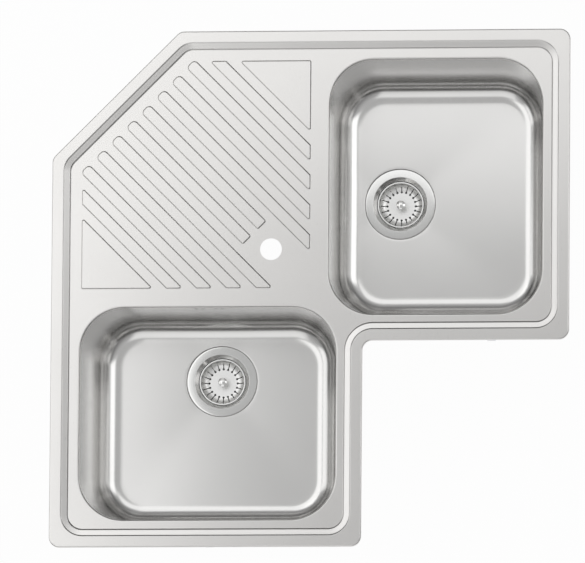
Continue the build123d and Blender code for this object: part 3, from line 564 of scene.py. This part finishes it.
def floor_rings(edge):
    """From the floor's outline to the edge of the waste's recess, then down and in to the waste hole."""
    wx, wy = WASTE_CENTRE
    start = RECESS_RADIUS + RECESS_ROUND
    around = [math.atan2(y - wy, x - wx) for x, y, _ in edge]
    rings = []
    steps, bend_steps = 26, 4
    for k in range(1, steps + 1):
        share = k / steps
        ring = []
        for (x, y, _), angle in zip(edge, around):
            x += (wx + start * math.cos(angle) - x) * share
            y += (wy + start * math.sin(angle) - y) * share
            ring.append((x, y, floor_lift(x, y) - BOWL_DEPTH))
        rings.append(ring)
    for k in range(1, bend_steps + 1):
        angle = math.radians(90 * k / bend_steps)
        radius, drop = start - RECESS_ROUND * math.sin(angle), RECESS_ROUND * (math.cos(angle) - 1)
        rings.append(waste_ring(around, radius, drop))
    foot = 0.5  # small round at the recess's floor
    for k in range(bend_steps + 1):
        angle = math.radians(90 * k / bend_steps)
        drop = foot * (1 - math.sin(angle)) - RECESS_DEPTH
        rings.append(waste_ring(around, RECESS_RADIUS - foot * (1 - math.cos(angle)), drop))
    rings.append(waste_ring(around, WASTE_HOLE_RADIUS, -RECESS_DEPTH))
    return rings


def waste_ring(around, radius, drop):
    """A ring about the waste with a point at each angle; drop is measured from the floor."""
    wx, wy = WASTE_CENTRE
    points = [(wx + radius * math.cos(a), wy + radius * math.sin(a)) for a in around]
    fades = soft(-drop, 0, RECESS_DEPTH)
    return [(x, y, drop - BOWL_DEPTH + (1 - fades) * floor_lift(x, y)) for x, y in points]


def cut_by(piece, cutter):
    """Takes the cutter's volume out of a piece."""
    cut = piece.modifiers.new("cut", "BOOLEAN")
    cut.operation = "DIFFERENCE"
    cut.solver = "EXACT"
    cut.object = cutter
    bake_modifiers(piece)
    bpy.data.objects.remove(cutter)


def crisp_edges(piece, angle=35.0):
    """Smooth shading that leaves edges sharper than angle crisp and keeps flats flat beside small rounds."""
    mesh = piece.data
    bm = bmesh.new()
    bm.from_mesh(mesh)
    limit = math.radians(angle)
    for edge in bm.edges:
        edge.smooth = len(edge.link_faces) == 2 and edge.calc_face_angle(0.0) < limit
    for face in bm.faces:
        face.smooth = True
    bm.to_mesh(mesh)
    bm.free()
    shading = piece.modifiers.new("even shading", "WEIGHTED_NORMAL")
    shading.mode = "FACE_AREA"
    shading.keep_sharp = True
    bake_modifiers(piece)


def overflow_cutter():
    """Four round bars across the left bowl's back wall."""
    sheet = SheetMesh()
    wall = BOWL_CENTRE[1] + WALL_HALF_SHORT
    reach = 8.0
    for offset in OVERFLOW_HOLES_AT:
        hole = circle_ring((BOWL_CENTRE[0] + offset, -OVERFLOW_DEPTH), OVERFLOW_HOLE_RADIUS, 0, count=28)
        sheet.prism([[(x, y, z) for x, z, _ in hole] for y in (wall - reach, wall + reach)])
    return sheet.finish("overflow_cutter", BOWL_STEEL)


def make_bowl(name, on_right):
    rings = wall_rings()
    rings += floor_rings(rings[-1])
    sheet = SheetMesh()
    sheet.band([mirrored(ring) for ring in rings] if on_right else rings)
    bowl = sheet.finish(name, BOWL_STEEL)
    give_thickness(bowl, GAUGE)
    if not on_right:
        cut_by(bowl, overflow_cutter())
    crisp_edges(bowl)
    return bowl


# --- Turned pieces ------------------------------------------------------------------------------------
def turned(name, material, centre, section, rounding=0.3, around=96, arc_steps=3):
    """A piece turned about the vertical through centre, from (radius, height) corners in order round it."""
    count = len(section)
    radii = []
    for k in range(count):
        here, before, after = (Vector(section[i]) for i in (k, k - 1, (k + 1) % count))
        room = min((here - before).length, (here - after).length) * 0.45
        smooth = (here - before).angle(after - here) < math.radians(20)
        radii.append(0.0 if here.x < 1e-6 or smooth else min(rounding, room))
    profile = rounded_ring(section, radii, arc_steps)
    sheet = SheetMesh()
    loops = [circle_ring(centre, max(r, 0.0), z, around) for r, z in profile]
    on_axis = section[0][0] < 1e-6 and section[-1][0] < 1e-6
    sheet.band(loops if on_axis else loops + [loops[0]])
    bmesh.ops.remove_doubles(sheet.bm, verts=sheet.bm.verts, dist=2e-6)
    bmesh.ops.dissolve_degenerate(sheet.bm, edges=sheet.bm.edges, dist=1e-7)
    bmesh.ops.recalc_face_normals(sheet.bm, faces=sheet.bm.faces)
    piece = sheet.finish(name, material)
    crisp_edges(piece, 50.0)
    return piece


FLANGE_TOP = -BOWL_DEPTH - 0.2
FLANGE_RADIUS = 56.0
CUP_GAUGE = 0.8
CUP_MOUTH = 44.0
CUP_RADIUS = 38.2
SEAT = -214.0
SEAT_OPENING = 22.0
PLATE = -219.0
SCREW_HOLE_RADIUS = 6.2
DRAIN_HOLES = 6
DRAIN_HOLE_RADIUS = 5.0
DRAIN_CIRCLE = 15.5

BASKET_RIM_TOP = -187.0
BASKET_FLOOR = -205.0
BASKET_RIM = 37.2
BASKET_MOUTH = 35.0
BASKET_FLAT = 22.0  # radius of the flat floor, where the bowl-shaped wall begins
BASKET_BOWL_RISE = 10.0
BASKET_GAUGE = 0.7
TENON_HOLE_RADIUS = 2.06
KNOB_RADIUS = 7.2
KNOB_NECK = 4.2
KNOB_HEIGHT = 19.0
KNOB_CAP = 5.0
KNOB_CROWN = 1.8
CHAMBER_RADIUS = 2.66
CHAMBER_TOP = -196.7
CHAMBER_BOTTOM = -198.56
SLOTS = 20
SLOT_WIDTH = 1.4
SLOT_EYE_RADIUS = 1.7
SLOT_EYE_CIRCLE = 22.9
SLOT_TOP = 33.6
CUT_BELOW, CUT_ABOVE = 4.0, 3.0  # how far the cutters of holes and slots reach past the sheet


def make_dish(name, centre):
    """The waste's steel flange, cup, seat and drain plate."""
    g = CUP_GAUGE
    turn = CUP_MOUTH - CUP_RADIUS
    bend = g * (ROOT2 - 1)
    crown = 0.15  # the flange's top is very slightly domed
    section = [
        (FLANGE_RADIUS, FLANGE_TOP - crown),
        (FLANGE_RADIUS - 2.5, FLANGE_TOP),
        (CUP_MOUTH, FLANGE_TOP),
        (CUP_RADIUS, FLANGE_TOP - turn),
        (CUP_RADIUS, SEAT),
        (SEAT_OPENING, SEAT),
        (SEAT_OPENING, PLATE),
        (SCREW_HOLE_RADIUS, PLATE),
        (SCREW_HOLE_RADIUS, PLATE - g),
        (SEAT_OPENING + g, PLATE - g),
        (SEAT_OPENING + g, SEAT - g),
        (CUP_RADIUS + g, SEAT - g),
        (CUP_RADIUS + g, FLANGE_TOP - turn - bend),
        (CUP_MOUTH + bend, FLANGE_TOP - g),
        (FLANGE_RADIUS, FLANGE_TOP - g),
    ]
    dish = turned(name, STRAINER_STEEL, centre, section, rounding=1.0, around=128, arc_steps=4)
    low, high = PLATE - CUT_BELOW, PLATE + CUT_ABOVE
    hole = keyhole_cutter("drain_cutter", DRAIN_HOLE_RADIUS, DRAIN_CIRCLE, DRAIN_CIRCLE, 0.0, low, high)
    cut_by(dish, ring_of(hole, centre, DRAIN_HOLES))
    crisp_edges(dish, 40.0)
    return dish


def make_basket(name, centre):
    """The pressed strainer basket with its bowl-shaped wall and its ring of keyhole slots."""
    g = BASKET_GAUGE
    spring = BASKET_FLOOR + BASKET_BOWL_RISE  # height where the upright wall turns into the bowl
    spread_out = BASKET_MOUTH - BASKET_FLAT
    steps = 12
    angles = [math.radians(90 * k / steps) for k in range(steps + 1)]
    bowl = [(math.cos(angle), math.sin(angle)) for angle in angles]
    inner = [(BASKET_FLAT + spread_out * c, spring - BASKET_BOWL_RISE * s) for c, s in bowl]
    outer = [(BASKET_FLAT + (spread_out + g) * c, spring - (BASKET_BOWL_RISE + g) * s) for c, s in bowl]
    section = [
        (BASKET_RIM, BASKET_RIM_TOP),
        (BASKET_MOUTH, BASKET_RIM_TOP),
        *inner,
        (TENON_HOLE_RADIUS, BASKET_FLOOR),
        (TENON_HOLE_RADIUS, BASKET_FLOOR - g),
        *reversed(outer),
        (BASKET_MOUTH + g, BASKET_RIM_TOP - g),
        (BASKET_RIM, BASKET_RIM_TOP - g),
    ]
    basket = turned(name, BASKET_STEEL_PAINTED_BRIGHT, centre, section, around=160)
    low, high = BASKET_FLOOR - CUT_BELOW, BASKET_RIM_TOP + CUT_ABOVE
    slot = keyhole_cutter("slot_cutter", SLOT_EYE_RADIUS, SLOT_EYE_CIRCLE, SLOT_TOP, SLOT_WIDTH, low, high)
    cut_by(basket, ring_of(slot, centre, SLOTS))
    crisp_edges(basket, 40.0)
    return basket


def make_knob(name, centre):
    """The basket's mushroom knob, hollow where the stem's bead snaps in."""
    top = BASKET_FLOOR + KNOB_HEIGHT
    cap_bottom = top - KNOB_CAP
    steps = 10
    outward = [1 - k / steps for k in range(steps + 1)]
    crown = [(KNOB_RADIUS * share, top - KNOB_CROWN * share**2) for share in outward]
    section = [
        (0.0, CHAMBER_TOP),
        (CHAMBER_RADIUS, CHAMBER_TOP),
        (CHAMBER_RADIUS, CHAMBER_BOTTOM),
        (TENON_HOLE_RADIUS, CHAMBER_BOTTOM),
        (TENON_HOLE_RADIUS, BASKET_FLOOR),
        (KNOB_NECK, BASKET_FLOOR),
        (KNOB_NECK, cap_bottom),
        (KNOB_RADIUS, cap_bottom),
        *crown,
    ]
    return turned(name, STRAINER_STEEL, centre, section, rounding=0.8, arc_steps=4)


def keyhole_cutter(name, eye_radius, eye_at, slot_end, slot_width, low, high):
    """A bar along X from the axis, with a round eye and, if it has a width, a slot out to slot_end."""
    outline = []
    opening = math.asin(slot_width / 2 / eye_radius) if slot_width else 0.0
    steps = 20
    for k in range(steps + 1 if slot_width else steps):
        angle = opening + (2 * math.pi - 2 * opening) * k / steps
        outline.append((eye_at + eye_radius * math.cos(angle), eye_radius * math.sin(angle)))
    if slot_width:
        half = slot_width / 2
        for k in range(7):
            angle = math.radians(30 * k - 90)
            outline.append((slot_end - half + half * math.cos(angle), half * math.sin(angle)))
    return block(name, outline, low, high, STRAINER_STEEL)


def block(name, outline, low, high, material):
    """A closed block on a level outline, from one height to another, to cut with."""
    sheet = SheetMesh()
    sheet.prism([at_height(outline, low), at_height(outline, high)])
    return sheet.finish(name, material)


# --- Repeats made by Geometry Nodes -------------------------------------------------------------------
def new_tree(name, sizes):
    """A geometry tree with named inputs for its sizes, its group input and its group output."""
    tree = bpy.data.node_groups.new(name, "GeometryNodeTree")
    tree.interface.new_socket(name="Geometry", in_out="OUTPUT", socket_type="NodeSocketGeometry")
    for label, kind in sizes:
        tree.interface.new_socket(name=label, in_out="INPUT", socket_type="NodeSocket" + kind)
    return tree, tree.nodes.new("NodeGroupInput"), tree.nodes.new("NodeGroupOutput")


def end_tree(tree, geometry, given, made):
    """Ends a tree: its instances are made real and the material given to it is put on."""
    node, link = tree.nodes.new, tree.links.new
    real = node("GeometryNodeRealizeInstances")
    link(geometry, real.inputs["Geometry"])
    coat = node("GeometryNodeSetMaterial")
    link(real.outputs["Geometry"], coat.inputs["Geometry"])
    link(given.outputs["Material"], coat.inputs["Material"])
    link(coat.outputs["Geometry"], made.inputs["Geometry"])
    return tree


def worked_out(node, link, operation, *terms):
    """A Math node's result. Each term is a number or a socket."""
    step = node("ShaderNodeMath")
    step.operation = operation
    for socket, term in zip(step.inputs, terms):
        if isinstance(term, (int, float)):
            socket.default_value = term
        else:
            link(term, socket)
    return step.outputs["Value"]


def grown(name, tree, values):
    """The plain mesh piece that a tree makes from the given values of its named inputs."""
    piece = new_object(name, bpy.data.meshes.new(name))
    growth = piece.modifiers.new("growth", "NODES")
    growth.node_group = tree
    for socket in tree.interface.items_tree:
        if socket.in_out == "INPUT":
            growth[socket.identifier] = values[socket.name]
    bake_modifiers(piece)
    return piece


def ring_tree():
    """Copies of an object spaced evenly by turning about a vertical axis through Centre."""
    sizes = [("Copy", "Object"), ("Count", "Int"), ("Centre", "Vector"), ("Material", "Material")]
    tree, given, made = new_tree("ring of copies", sizes)
    node, link = tree.nodes.new, tree.links.new
    line = node("GeometryNodeMeshLine")
    line.inputs["Offset"].default_value = (0, 0, 0)
    link(given.outputs["Count"], line.inputs["Count"])
    link(given.outputs["Centre"], line.inputs["Start Location"])
    index = node("GeometryNodeInputIndex")
    step = worked_out(node, link, "DIVIDE", 2 * math.pi, given.outputs["Count"])
    turn = node("ShaderNodeCombineXYZ")
    link(worked_out(node, link, "MULTIPLY", index.outputs["Index"], step), turn.inputs["Z"])
    copy = node("GeometryNodeObjectInfo")
    link(given.outputs["Copy"], copy.inputs["Object"])
    place = node("GeometryNodeInstanceOnPoints")
    link(line.outputs["Mesh"], place.inputs["Points"])
    link(copy.outputs["Geometry"], place.inputs["Instance"])
    link(turn.outputs["Vector"], place.inputs["Rotation"])
    return end_tree(tree, place.outputs["Instances"], given, made)


RING_TREE = ring_tree()


def ring_of(copy, centre, count):
    """The copy repeated count times round a vertical axis through centre."""
    place = Vector((centre[0] * MM, centre[1] * MM, 0))
    values = {"Copy": copy, "Count": count, "Centre": place, "Material": STRAINER_STEEL}
    ring = grown(copy.name + "_ring", RING_TREE, values)
    bpy.data.objects.remove(copy)
    return ring


def thread_tree():
    """A screw-threaded rod, its middle at Place: the thread is cut Depth deep into Radius."""
    sizes = [("Radius", "Float"), ("Length", "Float"), ("Pitch", "Float"), ("Depth", "Float")]
    sizes += [("Around", "Int"), ("Rows", "Int"), ("Place", "Vector"), ("Material", "Material")]
    tree, given, made = new_tree("screw thread", sizes)
    node, link = tree.nodes.new, tree.links.new

    def work(operation, *terms):
        return worked_out(node, link, operation, *terms)

    rod = node("GeometryNodeMeshCylinder")
    link(given.outputs["Around"], rod.inputs["Vertices"])
    link(given.outputs["Rows"], rod.inputs["Side Segments"])
    link(given.outputs["Radius"], rod.inputs["Radius"])
    link(given.outputs["Length"], rod.inputs["Depth"])
    where = node("ShaderNodeSeparateXYZ")
    link(node("GeometryNodeInputPosition").outputs["Position"], where.inputs["Vector"])
    x, y, z = where.outputs
    turns = work("DIVIDE", work("ARCTAN2", y, x), 2 * math.pi)
    phase = work("SUBTRACT", work("DIVIDE", z, given.outputs["Pitch"]), turns)
    groove = work("MULTIPLY", work("PINGPONG", phase, 0.5), 2.0)
    cut = work("MULTIPLY", groove, work("DIVIDE", given.outputs["Depth"], given.outputs["Radius"]))
    keep = work("SUBTRACT", 1.0, cut)
    point = node("ShaderNodeCombineXYZ")
    link(work("MULTIPLY", x, keep), point.inputs["X"])
    link(work("MULTIPLY", y, keep), point.inputs["Y"])
    link(z, point.inputs["Z"])
    cutting = node("GeometryNodeSetPosition")
    link(rod.outputs["Mesh"], cutting.inputs["Geometry"])
    link(point.outputs["Vector"], cutting.inputs["Position"])
    placing = node("GeometryNodeTransform")
    link(cutting.outputs["Geometry"], placing.inputs["Geometry"])
    link(given.outputs["Place"], placing.inputs["Translation"])
    return end_tree(tree, placing.outputs["Geometry"], given, made)


THREAD_TREE = thread_tree()


def threaded_rod(name, material, axis, radius, pitch, depth, ends, around, rows_a_turn):
    """A threaded rod between two heights, its ends, on the vertical through axis."""
    low, high = ends
    values = {
        "Radius": radius * MM,
        "Length": (high - low) * MM,
        "Pitch": pitch * MM,
        "Depth": depth * MM,
        "Around": around,
        "Rows": round((high - low) / pitch * rows_a_turn),
        "Place": Vector((axis[0], axis[1], (low + high) / 2)) * MM,
        "Material": material,
    }
    return grown(name, THREAD_TREE, values)


def joined(piece, *others):
    """The other pieces' meshes put into the first piece."""
    bm = bmesh.new()
    for each in (piece, *others):
        bm.from_mesh(each.data)
    bm.to_mesh(piece.data)
    bm.free()
    for each in others:
        bpy.data.objects.remove(each)
    return piece


CLIP_COUNT = 8
EVERYWHERE = [(-SIDE, -SIDE), (SIDE, -SIDE), (SIDE, SIDE), (-SIDE, SIDE)]
END_MARGIN = 5.0  # how far a cutter reaches past the end that it cuts off
BOLT_END = -64.0
BOLT_THREAD_TOP = -20.0
BOLT_RADIUS = 2.5
BOLT_PITCH = 0.8
BOLT_THREAD_DEPTH = 0.38
OUTLET_END = -262.0
OUTLET_THREAD_TOP = -242.0
OUTLET_RADIUS = 23.9
OUTLET_BORE = 20.0
OUTLET_PITCH = 2.31
OUTLET_THREAD_DEPTH = 1.1
OUTLET_AROUND = 72


def with_threads(bolts):
    """The clip bolts with their plain shanks cut off and threaded ones in their place."""
    cut_by(bolts, block("shank_cutter", EVERYWHERE, BOLT_END - END_MARGIN, BOLT_THREAD_TOP, CLIP_STEEL))
    sizes = (BOLT_RADIUS, BOLT_PITCH, BOLT_THREAD_DEPTH, (BOLT_END, BOLT_THREAD_TOP))
    rods = []
    for number in range(1, CLIP_COUNT + 1):
        low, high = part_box("clip_nut_%d" % number)
        axis = ((low[0] + high[0]) / 2 / MM, (low[1] + high[1]) / 2 / MM)
        rods.append(threaded_rod("shank", CLIP_STEEL, axis, *sizes, around=20, rows_a_turn=4))
    joined(bolts, *rods)
    crisp_edges(bolts, 70.0)
    return bolts


def with_outlet_thread(tube, centre):
    """A waste's outlet tube with its plain end cut off and a threaded one in its place."""
    low = OUTLET_END - END_MARGIN
    cut_by(tube, block("outlet_cutter", EVERYWHERE, low, OUTLET_THREAD_TOP, CLIP_STEEL))
    sizes = (OUTLET_RADIUS, OUTLET_PITCH, OUTLET_THREAD_DEPTH, (OUTLET_END, OUTLET_THREAD_TOP))
    thread = threaded_rod("thread", WASTE_PLASTIC, centre, *sizes, around=OUTLET_AROUND, rows_a_turn=6)
    bore = [(x, y) for x, y, _ in circle_ring(centre, OUTLET_BORE, 0, OUTLET_AROUND)]
    cut_by(thread, block("bore_cutter", bore, low, OUTLET_THREAD_TOP + END_MARGIN, CLIP_STEEL))
    joined(tube, thread)
    crisp_edges(tube, 50.0)
    return tube


# --- Pieces that keep their built shape ---------------------------------------------------------------
EDGE_ROUNDING = 0.25


def smoothed_copy(node_name, material, rounding):
    """A node's own shape with its seams joined, its edges lightly rounded and its curves shaded smooth."""
    flat_within, round_from = math.radians(0.6), math.radians(40)
    mesh = frame["nodes"][node_name].data.copy()
    bm = bmesh.new()
    bm.from_mesh(mesh)
    bmesh.ops.remove_doubles(bm, verts=bm.verts, dist=SAME_PLACE)
    bmesh.ops.dissolve_limit(bm, angle_limit=flat_within, verts=bm.verts, edges=bm.edges)
    bm.to_mesh(mesh)
    bm.free()
    mesh.materials.clear()
    mesh.materials.append(material)
    piece = new_object(node_name + "_piece", mesh)
    if rounding:
        soften = piece.modifiers.new("rounding", "BEVEL")
        soften.width = rounding * MM
        soften.segments = 2
        soften.limit_method = "ANGLE"
        soften.angle_limit = round_from
        soften.use_clamp_overlap = True
        bake_modifiers(piece)
    crisp_edges(piece, 32.0)
    return piece


# --- The sink, piece by piece -------------------------------------------------------------------------
dressed(make_deck(), "deck_steel", "root", "sink_top")
dressed(make_bowl("drawn_left_bowl", False), "bowl_steel", "root", "left_bowl")
dressed(make_bowl("drawn_right_bowl", True), "bowl_steel", "root", "right_bowl")

WASTES = {"left": WASTE_CENTRE, "right": (-WASTE_CENTRE[1], -WASTE_CENTRE[0])}
for side, centre in WASTES.items():
    dressed(make_dish(side + "_dish", centre), "strainer_steel", "root", side + "_waste_dish")
    basket = make_basket(side + "_slotted_basket", centre)
    dressed(basket, "strainer_steel", side + "_strainer", side + "_basket")
    dressed(make_knob(side + "_turned_knob", centre), "strainer_steel", side + "_strainer", side + "_knob")

FINISHES = {
    "deck_steel": DECK_STEEL,
    "bowl_steel": BOWL_STEEL,
    "strainer_steel": STRAINER_STEEL,
    "clip_steel": CLIP_STEEL,
    "rubber": SEAL_RUBBER,
    "seal_foam": EDGE_FOAM,
    "sound_pad": PAD_BITUMEN,
    "waste_plastic": WASTE_PLASTIC,
}
REMADE = {"sink_top", "left_bowl", "right_bowl"}
REMADE |= {side + part for side in WASTES for part in ("_waste_dish", "_basket", "_knob")}
body_of = {node: body for body, nodes in frame["record"]["behaviour"]["bodies"].items() for node in nodes}
for subpart in frame["record"]["subparts"]:
    node_name, slot = subpart["node"], subpart["material_slot"]
    if node_name in REMADE:
        continue
    # Rounding spoils the mesh of one of the clip nuts, so none of them is rounded.
    rounding = 0.0 if node_name.startswith("clip_nut_") else EDGE_ROUNDING
    piece = smoothed_copy(node_name, FINISHES[slot], rounding)
    if node_name == "clip_bolts":
        piece = with_threads(piece)
    if node_name.endswith("_waste_outlet"):
        piece = with_outlet_thread(piece, WASTES[node_name.split("_")[0]])
    dressed(piece, slot, body_of[node_name], node_name)


# --- Floor, light and camera --------------------------------------------------------------------------
FLOOR_DROP = 0.02
LOOK_AT = Vector((0.0350, -0.0522, 0.0))
CAMERA_TILT = math.radians(9.5)
CAMERA_BEARING = math.radians(-52.5)
CAMERA_ROLL = math.radians(0.44)
CAMERA_DISTANCE = 20.0
FRAME_WIDTH = 0.9327  # width of the view at the sink
SENSOR = 36.0


def seen_white(node, link):
    """1 for rays from the camera, from gloss and through glass."""
    path = node("ShaderNodeLightPath")
    seen = worked_out(node, link, "MAXIMUM", path.outputs["Is Camera Ray"], path.outputs["Is Glossy Ray"])
    return worked_out(node, link, "MAXIMUM", seen, path.outputs["Is Transmission Ray"])


def make_floor():
    half = 6.0
    whiteness = 0.97
    z = cad_bounds[0][2] - FLOOR_DROP
    mesh = bpy.data.meshes.new("floor")
    corners = [(-half, -half, z), (half, -half, z), (half, half, z), (-half, half, z)]
    mesh.from_pydata(corners, [], [(0, 1, 2, 3)])
    floor = new_object("floor", mesh)
    material, shader, node, link = new_finish("pale floor")
    shader.inputs["Base Color"].default_value = (0.85, 0.85, 0.85, 1)
    shader.inputs["Roughness"].default_value = 0.9
    white = node("ShaderNodeEmission")
    white.inputs["Color"].default_value = (1, 1, 1, 1)
    mix = node("ShaderNodeMixShader")
    link(worked_out(node, link, "MULTIPLY", seen_white(node, link), whiteness), mix.inputs["Fac"])
    link(shader.outputs["BSDF"], mix.inputs[1])
    link(white.outputs["Emission"], mix.inputs[2])
    link(mix.outputs["Shader"], material.node_tree.nodes["Material Output"].inputs["Surface"])
    mesh.materials.append(material)


def make_world(overhead, low_lit, low_shaded):
    """A plain grey surround: one strength overhead and two low down, towards the left front and away."""
    world = bpy.data.worlds.new("studio")
    bpy.context.scene.world = world
    world.use_nodes = True
    node, link = world.node_tree.nodes.new, world.node_tree.links.new
    ground = world.node_tree.nodes["Background"]
    ground.inputs["Color"].default_value = (1, 1, 1, 1)
    place = node("ShaderNodeTexCoord")
    parts = node("ShaderNodeSeparateXYZ")
    link(place.outputs["Generated"], parts.inputs["Vector"])
    towards = node("ShaderNodeVectorMath")
    towards.operation = "DOT_PRODUCT"
    towards.inputs[1].default_value = (-1 / ROOT2, -1 / ROOT2, 0)
    link(place.outputs["Generated"], towards.inputs[0])
    low = spread(node, link, towards.outputs["Value"], low_shaded, low_lit, start=-0.5, end=0.5)
    height = spread(node, link, parts.outputs["Z"], 0.0, 1.0, start=0.35, end=0.75)
    strength = node("ShaderNodeMix")
    link(height, strength.inputs["Factor"])
    link(low, strength.inputs["A"])
    strength.inputs["B"].default_value = overhead
    link(strength.outputs["Result"], ground.inputs["Strength"])


def soft_light(name, place, target, size, power):
    lamp = bpy.data.lights.new(name, "AREA")
    lamp.shape = "RECTANGLE"
    lamp.size, lamp.size_y = size
    lamp.energy = power
    light = new_object(name, lamp)
    light.location = place
    light.rotation_euler = (Vector(target) - Vector(place)).to_track_quat("-Z", "Y").to_euler()


def make_camera():
    lens = bpy.data.cameras.new("camera")
    lens.sensor_width = SENSOR
    lens.lens = SENSOR * CAMERA_DISTANCE / FRAME_WIDTH
    lens.clip_end = 4 * CAMERA_DISTANCE
    camera = new_object("camera", lens)
    level = Vector((math.cos(CAMERA_BEARING), math.sin(CAMERA_BEARING), 0))
    away = level * math.sin(CAMERA_TILT) + Vector((0, 0, math.cos(CAMERA_TILT)))
    right = Vector((0, 1, 0)).cross(away).normalized()
    up = away.cross(right)
    cos, sin = math.cos(CAMERA_ROLL), math.sin(CAMERA_ROLL)
    right, up = right * cos + up * sin, up * cos - right * sin
    turn = Matrix((right, up, away)).transposed().to_4x4()
    camera.matrix_world = Matrix.Translation(LOOK_AT + away * CAMERA_DISTANCE) @ turn
    bpy.context.scene.camera = camera


LAMPS = (  # name, place, what it points at, its two sides in metres and its power in watts
    ("left overhead", (-0.95, 0.0, 1.9), (-0.95, 0.0, 0), (1.1, 1.5), 3.8),
    ("right overhead", (0.0, 0.95, 1.9), (0.0, 0.95, 0), (1.5, 1.1), 3.2),
    ("far overhead", (-1.0, 1.0, 1.9), (-1.0, 1.0, 0), (1.4, 1.4), 5.8),
    ("front panel", (-0.35, -1.83, 1.7), (0, -0.1, 0), (1.7, 1.7), 4.2),
    ("right panel", (1.75, 0.35, 1.95), (0.1, 0.1, 0), (1.2, 1.3), 4.6),
    ("left panel", (-1.9, -0.2, 1.2), (0, -0.2, 0), (1.4, 1.2), 4.0),
    ("low right panel", (2.3, 0.35, 1.1), (0.1, 0.1, 0), (0.9, 1.3), 1.8),
)

bpy.context.scene.view_settings.view_transform = "Standard"
make_floor()
make_world(overhead=0.50, low_lit=0.30, low_shaded=0.0)
for lamp in LAMPS:
    soft_light(*lamp)
make_camera()
